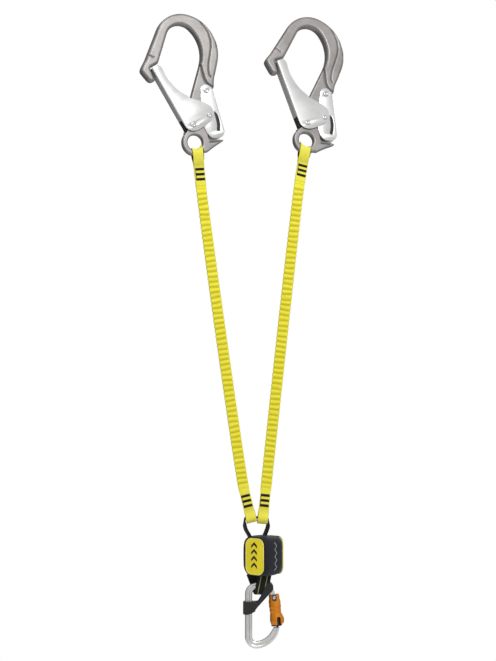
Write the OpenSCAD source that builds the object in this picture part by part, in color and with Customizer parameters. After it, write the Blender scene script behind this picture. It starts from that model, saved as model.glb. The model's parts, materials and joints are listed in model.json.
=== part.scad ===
// Twin-leg elastic shock absorbing lanyard, hung from its left scaffold hook.
// Millimetres, +Z up, +X to the right of the front view, +Y to the rear.
// The origin is the centre of the 50 mm bar seat in the left hook's bow.

/* [Hooks] */
// Thickness of the forged bow and nose
bow_t = 18.5; // [17:0.5:20]
// Thickness of the thinned spine and eye ring
spine_t = 12; // [11:0.5:12]
// Radius of the bar seat inside the bow
seat_r = 25; // [24.5:0.1:25.5]
// Radius of the webbing eye
eye_r = 13.5; // [13:0.1:14]
// Sheet thickness of the gate and lever channels
sheet_t = 1.6; // [1.2:0.1:1.7]
// Turn of both hooks about their load line
hook_yaw = 19; // [0:1:25]
// Sideways lean of the left and right hook
hook_lean = [-7.5, 2.6]; // [-10:0.1:10]
// Lean in depth of the left and right hook
hook_pitch = [-5, -15]; // [-18:1:0]

/* [Arms] */
// Distance between the two hook eyes
eye_span = 191; // [170:1:210]
// Height of the right eye above the left eye
eye_rise = 3.6; // [0:0.1:8]
// Drop from the left eye to the absorber's datum
absorber_drop = 727.4; // [700:0.1:760]
// Sideways distance from the left eye to the absorber's datum
absorber_side = 119.5; // [110:0.1:130]
// Width of the arm webbing
web_w = 18.5; // [17:0.1:18.5]
// Thickness of one layer of arm webbing
web_t = 2.2; // [1.8:0.1:2.4]
// Thickness of the pleated elastic part
pleat_t = 6; // [5:0.5:7]
// Number of pleats in each arm
pleat_count = 59; // [40:1:64]
// Depth of the scallop at each pleat
pleat_depth = 0.9; // [0.3:0.1:1.2]

/* [Absorber] */
// Width of the pouch across its yellow panels
pouch_w = 50; // [48:1:52]
// Depth of the pouch between its panels
pouch_d = 48; // [46:1:50]
// Height of the pouch
pouch_h = 70; // [68:1:72]
// Turn of the pouch about the vertical
pouch_yaw = -42; // [-45:1:-35]
// Wall thickness of the pouch fabric with its lining
pouch_wall = 2.2; // [1.5:0.1:2.5]
// Width of the lower webbing
lower_w = 23; // [20:1:24]

/* [Carabiner] */
// Width of the bar seen from the front
bar_w = 12.5; // [11:0.5:12.5]
// Thickness of the bar from front to rear
bar_t = 10.5; // [9:0.5:10.5]
// Outer radius of the locking sleeve
sleeve_r = 10; // [9.8:0.1:10.5]
// Sideways lean of the gate
gate_lean = -5.2; // [-6:0.1:-4]

/* [Hidden] */
$fn = 64;

LEFT = 0;
RIGHT = 1;
gap = 0.3;

// ---- small geometry helpers ----
function arc(c, r, a0, a1, n = 12) =
  [for (i = [0:n]) let (a = a0 + (a1 - a0) * i / n) c + r * [cos(a), sin(a)]];
function turn_x(v, a) = [v.x, v.y * cos(a) - v.z * sin(a), v.y * sin(a) + v.z * cos(a)];
function turn_y(v, a) = [v.x * cos(a) + v.z * sin(a), v.y, -v.x * sin(a) + v.z * cos(a)];
function turn_z(v, a) = [v.x * cos(a) - v.y * sin(a), v.x * sin(a) + v.y * cos(a), v.z];
function from_hook(v, s) = turn_y(turn_x(turn_z(v, hook_yaw), hook_pitch[s]), hook_lean[s]);

// Extrudes a front-view outline (x, z) evenly about the y = 0 plane.
module plate(t) rotate([90, 0, 0]) linear_extrude(t, center = true) children();
// A cylinder along y at (x, z).
module cross_pin(p, r, t) translate([p.x, 0, p.y]) rotate([90, 0, 0]) cylinder(h = t, r = r, center = true);
// A straight slot outline from p to q with round ends.
module slot_2d(p, q, r) {
  d = q - p;
  translate(p) circle(r);
  translate(q) circle(r);
  translate(p) rotate(atan2(d.y, d.x)) translate([0, -r]) square([norm(d), 2 * r]);
}
// A rectangle with round corners, centred.
module round_rect(w, h, r) {
  square([w - 2 * r, h], center = true);
  square([w, h - 2 * r], center = true);
  for (x = [-1, 1], y = [-1, 1]) translate([x * (w / 2 - r), y * (h / 2 - r)]) circle(r);
}

// ---- where the assemblies hang ----
seat_c = [-3, 182];
eye_left = -from_hook([seat_c.x, 0, seat_c.y], LEFT);
eye_right = eye_left + [eye_span, 0, eye_rise];
eye_at = [eye_left, eye_right];
absorber_at = eye_left + [absorber_side, 0, -absorber_drop];
carabiner_at = absorber_at + [0, 0, -84.3];

module at_hook(s) translate(eye_at[s]) rotate([hook_pitch[s], hook_lean[s], 0]) rotate([0, 0, hook_yaw]) children();
module at_absorber() translate(absorber_at) children();
module at_carabiner() translate(carabiner_at) children();

// ================= scaffold hook =================
// Hook outlines are (x, z) from the centre of the webbing eye, nose to the left.
gate_pin = [-1, 30];
tail_pin = [30, 44.7];
lever_pin = [31, 88.5];
pin_r = 3;
tail_r = 2.5;
run_fit = 0.05;
lever_in = spine_t / 2 + 0.4;
gate_in = lever_in + sheet_t + 0.4;
gate_out = gate_in + sheet_t;
tip_r = 119.8;

module hook_outline() {
  polygon(concat(
    [[-62, 110.8], [-67.5, 110.8], [-72.5, 116.5], [-79.7, 127.3], [-80.7, 132], [-77.6, 138]],
    arc([0, 178.5], 48, 153, 78, 10),
    arc([-5.2, 159.2], 68, 75, -18.6, 16),
    [[47.6, 105], [46.5, 94.3], [42.4, 91.2], [39, 84], [36, 72]],
    arc(gate_pin, 30, 45, -30, 8),
    [[27, 6.5], [27, 3], [46.5, 2], [51.7, 0.2], [51.7, -1], [39.3, -6.8], [29, -12.6], [18.6, -19.4]],
    arc([0, 0], 23, -48, -235, 24),
    arc(gate_pin, 10, 215, 165, 5),
    [[-6, 50], [-1, 66], [2.1, 77.8]],
    arc([-29, 158.6], 60, -21, 42, 10),
    arc(seat_c, seat_r - 0.5, 42, 156, 14),
    [seat_c + seat_r * [cos(156), sin(156)], [-48.4, 141.9], [-54.8, 138.6], [-62, 135.2],
     [-63.9, 133.2], [-57.8, 113.7]]));
}

// The area where the forging is thinned for the gate and lever cheeks.
module thin_zone() {
  polygon([[-40, -60], [70, -60], [70, 88], [43.5, 88], [42, 94.3], [33.1, 101.1],
    [29, 111.8], [25.9, 134.1], [0, 136], [-12, 60], [-40, 60]]);
}

module hook_frame(s) {
  color([0.62, 0.6, 0.59]) at_hook(s) difference() {
    union() {
      plate(spine_t) hook_outline();
      difference() {
        plate(bow_t) hook_outline();
        plate(bow_t + 2) thin_zone();
      }
    }
    cross_pin(seat_c, seat_r, bow_t + 2);
    cross_pin([0, 0], eye_r, spine_t + 2);
    eye_relief(s);
    cross_pin(gate_pin, pin_r, spine_t + 2);
    cross_pin(lever_pin, pin_r, spine_t + 2);
    // Relief grooves along the outside of the bow, on both faces
    for (f = [-1, 1]) translate([0, f * bow_t / 2, 0]) plate(1.6) bow_groove();
    for (f = [-1, 1]) translate([0, f * spine_t / 2, 0]) plate(1.6) spur_groove();
  }
}

// Eases the edges of the eye to the fold of the webbing that hangs in it.
module eye_relief(s) at_top_bar(s) rotate([90, 0, 90])
  linear_extrude(web_w + 0.4, center = true) difference() {
    translate([-9, -13]) square([18, 19]);
    polygon(loop_section(top_a - web_t - liner_t - 0.15, top_b - web_t - liner_t - 0.15, 0.1, 22, 24));
  }

module bow_groove() {
  intersection() {
    difference() {
      translate([-5.2, 159.2]) circle(57);
      translate([-5.2, 159.2]) circle(55.4);
    }
    polygon([[20, 205], [90, 205], [90, 138], [20, 138]]);
  }
}

module spur_groove() slot_2d([26, -1.5], [45, -1.2], 0.8);

// Cheek of the gate channel; its tip is an arc about the gate pivot.
module gate_cheek() {
  difference() {
    polygon(concat(
      arc(gate_pin, tip_r, 120.7, 113.5, 4),
      [[-43.4, 131.2], [-39.3, 118.6], [-31, 105], [-20.7, 92.3], [-10.3, 84.6], [0, 76.8],
       [18.6, 70], [31, 64.2], [36.5, 58]],
      arc([30, 47.5], 8.4, 30, -40, 4),
      [[32, 33], [18.6, 26.2], [8, 21], [0, 19.6], [-8, 21], [-17.6, 31.1]]));
    translate(gate_pin) circle(pin_r + run_fit);
    translate(tail_pin) circle(tail_r);
  }
}

// Back web of the gate, set just inside the front edge of its cheeks.
gate_tip = gate_pin + tip_r * [cos(120.7), sin(120.7)];
gate_foot = [-17.6, 31.1];
web_len = 96;
module gate_web() {
  d = (gate_foot - gate_tip) / norm(gate_foot - gate_tip);
  n = [-d.y, d.x];
  polygon([gate_tip + d + 0.3 * n, gate_tip + d + 2.3 * n, gate_tip + web_len * d + 2.3 * n,
    gate_tip + web_len * d + 0.3 * n]);
}

module hook_gate(s) {
  color([0.86, 0.86, 0.87]) at_hook(s) {
    for (f = [-1, 1]) translate([0, f * (gate_in + sheet_t / 2), 0]) plate(sheet_t) gate_cheek();
    plate(2 * gate_in + 0.8) gate_web();
  }
}

module gate_pivot(s) {
  color([0.8, 0.8, 0.82]) at_hook(s) {
    cross_pin(gate_pin, pin_r, 2 * (gate_out + gap));
    for (f = [-1, 1]) translate([0, f * (gate_out + gap + 0.6), 0]) cross_pin(gate_pin, 5, 1.2);
  }
}

// A rivet in each cheek of the gate's tail.
module gate_tail_pin(s) {
  color([0.8, 0.8, 0.82]) at_hook(s) for (f = [-1, 1]) {
    translate([0, f * (gate_in + sheet_t / 2), 0]) cross_pin(tail_pin, tail_r, sheet_t);
    translate([0, f * (gate_out + 0.6), 0]) cross_pin(tail_pin, 4.4, 1.2);
  }
}

module lever_cheek() {
  difference() {
    polygon(concat(
      [[18.6, 26.2], [18.6, 70], [20.4, 84]],
      arc(lever_pin, 10, 170, 10, 8),
      [[44.5, 82], [47.6, 68], [51.7, 38.9], [54.8, 19.4], [53.6, 12], [49, 5.6], [44, 4.5],
       [34, 4.5], [28, 7.4], [23.5, 13.5], [20.7, 19.4]]));
    translate(lever_pin) circle(pin_r + run_fit);
    // Open slot that shows the insert
    lever_window();
  }
}

module lever_window() {
  difference() {
    intersection() {
      translate(gate_pin) circle(48.6);
      polygon([[36, 48], [50, 48], [52, 16.5], [36, 16.5]]);
    }
    translate(gate_pin) circle(44.2);
  }
}

module hook_lever(s) {
  color([0.84, 0.84, 0.85]) at_hook(s) {
    for (f = [-1, 1]) translate([0, f * (lever_in + sheet_t / 2), 0]) plate(sheet_t) lever_cheek();
    plate(2 * lever_in + 0.8) polygon([[43.9, 81], [47.2, 68], [51.3, 38.9], [54.4, 19.4], [53.4, 12.6],
      [51.8, 12.6], [52.8, 19.4], [49.7, 38.9], [45.6, 68], [42.6, 79.5]]);
  }
}

module lever_pivot(s) {
  color([0.8, 0.8, 0.82]) at_hook(s) {
    cross_pin(lever_pin, pin_r, 2 * (lever_in + sheet_t + gap));
    for (f = [-1, 1]) translate([0, f * (lever_in + sheet_t + gap + 0.6), 0]) cross_pin(lever_pin, 4.6, 1.2);
  }
}

// Black stop block that fills the lever channel behind its open slot.
module lever_insert(s) {
  color([0.06, 0.06, 0.07]) at_hook(s) plate(2 * lever_in)
    polygon([[40.6, 52], [47.5, 52], [49.3, 39], [52.3, 19.4], [51.3, 13.5], [45, 12.5], [43.4, 24], [42, 38]]);
}

// Torsion spring: one coil each side of the spine, with a leg to the gate web.
module gate_spring(s) {
  color([0.05, 0.05, 0.05]) at_hook(s) for (f = [-1, 1]) {
    translate([gate_pin.x, f * (spine_t / 2 + 1.15), gate_pin.y]) rotate([90, 0, 0])
      rotate_extrude() translate([6.2, 0]) circle(0.8, $fn = 16);
    translate([0, f * (spine_t / 2 + 1.15), 0]) plate(1.4) {
      slot_2d([-5.6, 34.6], [-20, 45], 0.7);
      slot_2d([-6.6, 27.4], [-15, 18.5], 0.7);
    }
  }
}

// Compression spring between the spine and the lever's back web.
module lever_spring(s) {
  spring_z = 62;
  turns = 7;
  color([0.3, 0.3, 0.32]) at_hook(s) translate([31.8, 0, spring_z]) rotate([0, 90, 0]) {
    for (i = [0:turns - 1]) translate([0, 0, 1 + i * 1.9]) rotate_extrude() translate([3.2, 0]) circle(0.5, $fn = 16);
    for (f = [-1, 1]) translate([f * 3.2, 0, 1]) cylinder(h = 1.9 * (turns - 1), r = 0.3, $fn = 16);
  }
}

// ================= webbing loops =================
// Section of a sewn loop: a round fold at the bar, drawn together into two flat layers.
// Points are (y, z), the bar is at the origin and the loop runs up to z = len.
function loop_section(a, b, half, join_z, len) = concat(
  [for (i = [0:12]) let (q = 180 + 15 * i) [a * cos(q), b * sin(q)]],
  [[a * 0.92, 5], [half, join_z], [half, len], [-half, len], [-half, join_z], [-a * 0.92, 5]]);

module strap_loop(a, b, w, join_z, len, t = web_t) {
  rotate([90, 0, 90]) linear_extrude(w, center = true) difference() {
    polygon(loop_section(a, b, t + 0.05, join_z, len));
    polygon(loop_section(a - t, b - t, 0.05, join_z - 3, join_z + 1));
  }
}

// Wear liner inside the fold of a loop.
module fold_liner(a, b, w, t) {
  rotate([90, 0, 90]) linear_extrude(w, center = true) intersection() {
    difference() {
      polygon(loop_section(a, b, 0.3, 24, 26));
      polygon(loop_section(a - t, b - t, 0.1, 21, 22));
    }
    translate([-a - 1, -b - 1]) square([2 * a + 2, b + 6]);
  }
}

// Three bar tacks across both faces of a loop, at heights zs.
module bar_tacks(w, first_z, pitch) {
  for (i = [0:2], f = [-1, 1]) translate([0, f * (web_t + 0.05 + 0.3), first_z + i * pitch])
    cube([w, 0.6, 4.2], center = true);
}

liner_t = 0.8;
// Top loops hang from the hook eyes, so they are drawn upside down.
top_len = 58;
top_bar = [[3, 0, -18.2], [-1, 0, -18.2]];
// Lean of the left and right top loop on its hook
top_lean = [1.5, 6.5];
top_a = spine_t / 2 + 0.45 + liner_t + web_t;
top_b = 13.2;
module at_top_bar(s) translate(top_bar[s]) rotate([0, top_lean[s], 0]) rotate([180, 0, 0]) children();
module at_top_loop(s) at_hook(s) at_top_bar(s) children();
module top_loop(s) color([0.93, 0.85, 0.12]) at_top_loop(s) strap_loop(top_a, top_b, web_w, 25, top_len);
module top_liner(s) color([0.07, 0.07, 0.08]) at_top_loop(s)
  fold_liner(top_a - web_t - 0.05, top_b - web_t - 0.05, web_w - 1, liner_t);
module top_tacks(s) color([0.16, 0.16, 0.14]) at_top_loop(s) bar_tacks(web_w - 2, 28.4, 8.7);

// Bottom loops sit side by side on the top bar of the ring sling.
ring_w = 10.4;
loop_room = 7.4;
bottom_w = 16.5;
bottom_len = 47;
bottom_a = loop_room + liner_t + web_t;
bottom_b = 9.4;
ring_bar_z = 83.75;
bottom_x = [-22.4, -2.4];
bottom_lean = [-16, 3];
module at_bottom_loop(s) at_absorber() translate([bottom_x[s], 0, ring_bar_z]) rotate([0, bottom_lean[s], 0]) children();
module bottom_loop(s) color([0.93, 0.85, 0.12]) at_bottom_loop(s) strap_loop(bottom_a, bottom_b, bottom_w, 22, bottom_len);
module bottom_liner(s) color([0.07, 0.07, 0.08]) at_bottom_loop(s)
  fold_liner(bottom_a - web_t - 0.05, bottom_b - web_t - 0.05, bottom_w - 1, liner_t);
module bottom_tacks(s) color([0.16, 0.16, 0.14]) at_bottom_loop(s) bar_tacks(bottom_w - 1.5, 24.4, 8.8);

// ================= elastic arms =================
function top_end(s) = eye_at[s] + from_hook(top_bar[s] + turn_y([0, 0, -top_len], top_lean[s]), s);
function bottom_end(s) = absorber_at + [bottom_x[s], 0, ring_bar_z] + turn_y([0, 0, bottom_len], bottom_lean[s]);
sag = [-1.5, 1];
end_gap = 1.5;
// Centre line of an arm as a quadratic curve, in (x, z).
function arm_ends(s) = let (p = top_end(s), q = bottom_end(s)) [[p.x, p.z], [q.x, q.z]];
function arm_point(s, u) = let (e = arm_ends(s), m = (e[0] + e[1]) / 2 + [2 * sag[s], 0])
  (1 - u) * (1 - u) * e[0] + 2 * u * (1 - u) * m + u * u * e[1];
function arm_normal(s, u) = let (d = arm_point(s, u + 0.001) - arm_point(s, u - 0.001)) [-d.y, d.x] / norm(d);
function arm_length(s) = norm(arm_ends(s)[0] - arm_ends(s)[1]);
function arm_u(s, i, n) = let (k = end_gap / arm_length(s)) k + (1 - 2 * k) * i / n;
// Half width at step i: four steps to a pleat, out and in again.
function scallop(i, depth) = (i % 4 == 0) ? -depth : (i % 4 == 2) ? 0 : -depth / 3;
function arm_edge(s, side, half, depth, n) =
  [for (i = [0:n]) let (u = arm_u(s, i, n)) arm_point(s, u) + side * (half + scallop(i, depth)) * arm_normal(s, u)];
function reversed(v) = [for (i = [len(v) - 1:-1:0]) v[i]];
module arm_band(s, half, depth, n) polygon(concat(arm_edge(s, 1, half, depth, n), reversed(arm_edge(s, -1, half, depth, n))));
core_w = 11;
core_t = 2.6;
arm_steps = 4 * pleat_count;
core_steps = 12;

// Arms run from the loop ends to the absorber with a small step in depth, so each is tipped to meet both.
function arm_tip(s) = let (p = top_end(s), q = bottom_end(s)) atan2(p.y - q.y, p.z - q.z);
module at_arm(s) translate([0, bottom_end(s).y, bottom_end(s).z]) rotate([-arm_tip(s), 0, 0])
  translate([0, 0, -bottom_end(s).z]) children();
module arm_webbing(s) color([0.91, 0.84, 0.16]) at_arm(s) difference() {
  plate(pleat_t) arm_band(s, web_w / 2, pleat_depth, arm_steps);
  plate(core_t + 0.6) arm_band(s, core_w / 2 + 0.3, 0, core_steps);
}
module elastic_core(s) color([0.85, 0.83, 0.75]) at_arm(s) plate(core_t) arm_band(s, core_w / 2, 0, core_steps);

// ================= absorber =================
pouch_c = [-1, 0, 18.5];
module at_pouch() at_absorber() translate(pouch_c) rotate([0, 0, pouch_yaw]) children();

// Closed sling that the arms hang on; its foot is sewn to the tear webbing in the pouch.
module ring_sling() {
  color([0.08, 0.08, 0.09]) at_absorber() plate(ring_w) difference() {
    polygon([[-21.5, 43.5], [-23.5, 49], [-28.5, 55], [-36.5, 66], [-36.5, 80], [-33, 85.5], [6.5, 85.5],
      [10, 80], [10, 66], [5, 55], [1, 49], [-1, 43.5]]);
    polygon([[-18.6, 47], [-20.6, 51], [-25.3, 56.4], [-33, 66.8], [-33, 80.5], [-31.5, 82], [5, 82],
      [6.5, 80.5], [6.5, 66.8], [1.8, 56.2], [-1.6, 50.5], [-3.6, 47]]);
  }
}

module pouch_block(w, d, h, r) linear_extrude(h, center = true) round_rect(w, d, r);

module pouch_shell() {
  color([0.16, 0.17, 0.2]) at_absorber() difference() {
    translate(pouch_c) rotate([0, 0, pouch_yaw]) difference() {
      pouch_block(pouch_w, pouch_d, pouch_h, 9);
      pouch_block(pouch_w - 2 * pouch_wall, pouch_d - 2 * pouch_wall, pouch_h - 2 * pouch_wall, 7);
    }
    // Ways in for the ring sling above and the lower webbing below
    translate([-12.25, 0, 53]) cube([36.5, ring_w + 3, 12], center = true);
    translate([-7.5, 0, -16]) cube([lower_w + 1.5, 18, 8], center = true);
  }
}

panel_t = 2.4;
module pouch_panel(f) color([0.92, 0.84, 0.1]) at_pouch() translate([0, f * (pouch_d / 2 + panel_t / 2 + 0.05), 0])
  plate(panel_t) round_rect(pouch_w - 9, pouch_h - 9, 9);
zip_t = 1.4;
module pouch_zip(f) color([0.04, 0.04, 0.04]) at_pouch() translate([0, f * (pouch_d / 2 + zip_t / 2 + 0.05), 0])
  plate(zip_t) difference() {
    round_rect(pouch_w - 2, pouch_h - 2, 11.5);
    round_rect(pouch_w - 8.6, pouch_h - 8.6, 9.3);
  }
module front_panel() pouch_panel(-1);
module rear_panel() pouch_panel(1);
module front_zip() pouch_zip(-1);
module rear_zip() pouch_zip(1);

// Slider and its pull run up the straight left side of the rear zip.
slider_x = -23.4;
slider_z = -20;
module at_slider() at_pouch() translate([slider_x, pouch_d / 2 + zip_t + 0.35, slider_z]) children();
module zip_slider() color([0.1, 0.1, 0.1]) at_slider() {
  translate([0, 0.9, 0]) plate(1.8) polygon([[-1.8, -4.5], [1.8, -4.5], [2.4, 0], [2.2, 4.5], [-2.2, 4.5], [-2.4, 0]]);
  translate([0, 2.6, 0]) plate(1.6) difference() {
    square([2.4, 6], center = true);
    square([3, 3.4], center = true);
  }
}
module zip_pull() color([0.1, 0.1, 0.1]) at_slider() translate([0, 4.2, 0]) plate(1.2) {
  difference() {
    translate([0, -8]) round_rect(6, 20, 2);
    translate([0, -15]) circle(1.6);
  }
}

// Tear webbing folded to and fro and stitched together, inside the pouch.
fold_count = 10;
fold_step = 2.9;
module tear_webbing_pack() {
  fold_h = 40;
  start = -fold_count * fold_step / 2;
  color([0.75, 0.73, 0.68]) at_pouch() translate([0, 0, -3]) rotate([0, 0, 90]) plate(25) {
    for (i = [0:fold_count - 1]) translate([start + i * fold_step, -fold_h / 2]) square([2.3, fold_h]);
    for (i = [0:fold_count - 2]) translate([start + i * fold_step, (i % 2 == 0) ? fold_h / 2 - 0.01 : -fold_h / 2 - 2.29])
      square([fold_step + 2.3, 2.3]);
  }
}

// Loop below the pouch that carries the carabiner.
fold_z = -40.3;
lower_in = bar_t / 2 + 1.15;
module lower_webbing() {
  color([0.1, 0.1, 0.1]) at_absorber() translate([-7.5, 0, fold_z]) rotate([90, 0, 90])
    linear_extrude(lower_w, center = true) difference() {
      union() {
        circle(lower_in + web_t);
        translate([-lower_in - web_t, 0]) square([2 * (lower_in + web_t), 29]);
      }
      circle(lower_in);
      translate([-lower_in, 0]) square([2 * lower_in, 32]);
    }
}

// ================= carabiner =================
// Outlines are (x, z) in the carabiner's own frame; the gate hangs on the right.
spine_x = -26.5;
hinge = [17.5, 30];
top_c = [-7.5, 28.2];
top_r = 23;
top_end_a = 41;
nose_c = [-16.5, -12.8];
nose_r = 39;
nose_a = -12.9;
corner_r = 13.5;
top_corner = [-13, 36];
low_corner = [-13, -38];
tang_t = 6.6;

// Edge of the bar at offset k from its centre line, nose to hinge.
function bar_edge(k) = concat(
  arc(nose_c, nose_r + k, nose_a, -82.1, 14),
  arc(low_corner, corner_r + k, -82.1, -180, 8),
  arc(top_corner, corner_r + k, 180, 125.2, 5),
  arc(top_c, top_r + k, 125.2, top_end_a, 10));
module bar_band(k0, k1) polygon(concat(bar_edge(k1), reversed(bar_edge(k0))));
module tang() {
  difference() {
    union() {
      polygon(concat(arc(top_c, top_r + 5, top_end_a + 4, 12, 6), [hinge + [5, 0], hinge - [5, 0]],
        arc(top_c, top_r - 5, 12, top_end_a + 4, 6)));
      translate(hinge) circle(5);
    }
    translate(hinge) circle(2.5);
  }
}

module carabiner_frame() {
  color([0.78, 0.78, 0.79]) at_carabiner() difference() {
    union() {
      plate(bar_t) bar_band(-bar_w / 2, bar_w / 2);
      plate(tang_t) tang();
    }
    // Grooves that give the bar its light double-flanged section
    for (f = [-1, 1]) translate([0, f * bar_t / 2, 0]) plate(3) bar_band(-2.1, 2.1);
  }
}

module carabiner_rivet() {
  color([0.85, 0.85, 0.86]) at_carabiner() {
    cross_pin(hinge, 2.5, 13);
    for (f = [-1, 1]) translate([0, f * 6.9, 0]) cross_pin(hinge, 3.4, 0.8);
  }
}

// The gate hangs down from the hinge rivet; its own frame has the rivet at the origin.
gate_end = -49.2;
gate_rod_r = 6.1;
module at_gate() at_carabiner() translate([hinge.x, 0, hinge.y]) rotate([0, gate_lean, 0]) children();
module carabiner_gate() {
  color([0.7, 0.7, 0.72]) at_gate() difference() {
    union() {
      translate([0, 0, gate_end]) cylinder(h = -gate_end, r = gate_rod_r);
      rotate([90, 0, 0]) cylinder(h = 11, r = 5.9, center = true);
    }
    translate([0, 0, 1]) cube([20, tang_t + 2 * gap, 20], center = true);
    rotate([90, 0, 0]) cylinder(h = 20, r = 2.55, center = true);
    // Blind hole for the return plunger
    translate([0, 0, -26]) cylinder(h = 20, r = 2.4);
  }
}
module gate_plunger() color([0.75, 0.7, 0.5]) at_gate() {
  translate([0, 0, -15.5]) cylinder(h = 5, r = 2.3);
  translate([0, 0, -10.5]) cylinder(h = 4.6, r1 = 2.3, r2 = 1.2);
}
module gate_plunger_spring() color([0.4, 0.4, 0.42]) at_gate() {
  for (i = [0:6]) translate([0, 0, -25.4 + i * 1.5]) rotate_extrude() translate([1.8, 0]) circle(0.35, $fn = 16);
  for (f = [-1, 1]) translate([f * 1.8, 0, -25.4]) cylinder(h = 9, r = 0.25, $fn = 16);
}

// Black bush that slides on the gate and guides the sleeve.
bush_top = -12;
bush_end = -48.9;
bush_r = 8.2;
module lock_bush() {
  color([0.07, 0.07, 0.08]) at_gate() difference() {
    union() {
      translate([0, 0, bush_end]) cylinder(h = bush_top - bush_end, r = bush_r);
      translate([0, 0, bush_end]) cylinder(h = 1, r = 9.4);
    }
    translate([0, 0, bush_end - 1]) cylinder(h = 60, r = gate_rod_r + 0.08);
    // Space for the sleeve's return spring
    translate([0, 0, -24]) cylinder(h = 20, r = 7.3);
  }
}
module sleeve_spring() color([0.4, 0.4, 0.42]) at_gate() {
  for (i = [0:5]) translate([0, 0, -23.3 + i * 2.1]) rotate_extrude() translate([6.75, 0]) circle(0.4, $fn = 16);
  for (f = [-1, 1]) translate([f * 6.75, 0, -23.3]) cylinder(h = 10.5, r = 0.3, $fn = 16);
}

// Orange sleeve with four notches at the top and a thumb lobe at the foot.
sleeve_top = 5;
sleeve_end = -47.6;
notch_floor = -6.5;
notch_w = 8.6;
module locking_sleeve() {
  color([0.88, 0.5, 0.08]) at_gate() difference() {
    union() {
      translate([0, 0, -43]) cylinder(h = 43 + sleeve_top, r = sleeve_r);
      translate([0, 0, sleeve_end]) cylinder(h = -43 - sleeve_end, r1 = sleeve_r - 1.6, r2 = sleeve_r);
      intersection() {
        translate([2.4, 0, -45]) cylinder(h = 22, r1 = 10.6, r2 = 7.6);
        translate([0, -9, -50]) cube([20, 18, 40]);
      }
    }
    translate([0, 0, -60]) cylinder(h = 80, r = bush_r + 0.08);
    for (a = [0, 90]) rotate([0, 0, a]) {
      translate([0, 0, notch_floor + 4.3 + 10]) cube([30, notch_w, 20], center = true);
      translate([0, 0, notch_floor + 4.3]) rotate([0, 90, 0]) cylinder(h = 30, r = notch_w / 2, center = true);
    }
    // Window in the front and rear of the foot
    translate([4.4, 0, -39]) cube([6, 30, 13], center = true);
  }
}

// Keeper strap: wraps the spine, then runs up over the webbing and the top bar.
keeper_in = lower_in + web_t + 0.4;
keeper_out = keeper_in + 1.5;
module keeper_strap() {
  color([0.1, 0.1, 0.1]) at_carabiner() difference() {
    plate(2 * keeper_out) union() {
      polygon([[-35.6, 2.5], [-33, 1], [-28, 1.2], [-18, 5], [-12, 13], [0, 26.5], [10, 37.5], [15.5, 44],
        [16.2, 51], [12.5, 56], [6, 57.5], [4, 53], [-2, 40], [-10, 23.5], [-35.6, 23]]);
    }
    // Room for the spine of the carabiner
    translate([spine_x, 0, 12]) cube([bar_w + 0.5, bar_t + 0.5, 40], center = true);
    // Room for the webbing and the top bar between the front and rear bands
    plate(2 * keeper_in) polygon([[-17, 4], [-17, 26], [-9, 26], [-2.6, 42], [3.6, 54.4],
      [5, 55.6], [10.4, 54.6], [13.4, 51.8], [15.2, 48.4], [20, 48.4], [20, 36], [7, 33.6], [-1, 28],
      [-13, 14], [-16, 0]]);
  }
}

hook_frame(LEFT);  // hook_frame_left
hook_frame(RIGHT);  // hook_frame_right
hook_gate(LEFT);  // hook_gate_left
hook_gate(RIGHT);  // hook_gate_right
gate_pivot(LEFT);  // gate_pivot_left
gate_pivot(RIGHT);  // gate_pivot_right
gate_tail_pin(LEFT);  // gate_tail_pin_left
gate_tail_pin(RIGHT);  // gate_tail_pin_right
hook_lever(LEFT);  // hook_lever_left
hook_lever(RIGHT);  // hook_lever_right
lever_pivot(LEFT);  // lever_pivot_left
lever_pivot(RIGHT);  // lever_pivot_right
lever_insert(LEFT);  // lever_insert_left
lever_insert(RIGHT);  // lever_insert_right
gate_spring(LEFT);  // gate_spring_left
gate_spring(RIGHT);  // gate_spring_right
lever_spring(LEFT);  // lever_spring_left
lever_spring(RIGHT);  // lever_spring_right
top_loop(LEFT);  // top_loop_left
top_loop(RIGHT);  // top_loop_right
top_liner(LEFT);  // top_liner_left
top_liner(RIGHT);  // top_liner_right
top_tacks(LEFT);  // top_tacks_left
top_tacks(RIGHT);  // top_tacks_right
arm_webbing(LEFT);  // arm_webbing_left
arm_webbing(RIGHT);  // arm_webbing_right
elastic_core(LEFT);  // elastic_core_left
elastic_core(RIGHT);  // elastic_core_right
bottom_loop(LEFT);  // bottom_loop_left
bottom_loop(RIGHT);  // bottom_loop_right
bottom_liner(LEFT);  // bottom_liner_left
bottom_liner(RIGHT);  // bottom_liner_right
bottom_tacks(LEFT);  // bottom_tacks_left
bottom_tacks(RIGHT);  // bottom_tacks_right
ring_sling();
pouch_shell();
front_panel();
rear_panel();
front_zip();
rear_zip();
zip_slider();
zip_pull();
tear_webbing_pack();
lower_webbing();
carabiner_frame();
carabiner_rivet();
carabiner_gate();
gate_plunger();
gate_plunger_spring();
lock_bush();
sleeve_spring();
locking_sleeve();
keeper_strap();
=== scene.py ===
"""Looks of the shock absorbing lanyard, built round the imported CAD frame."""

import json
import math
import random

import bmesh
import bpy
import numpy as np
from mathutils import Matrix, Vector


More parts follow.
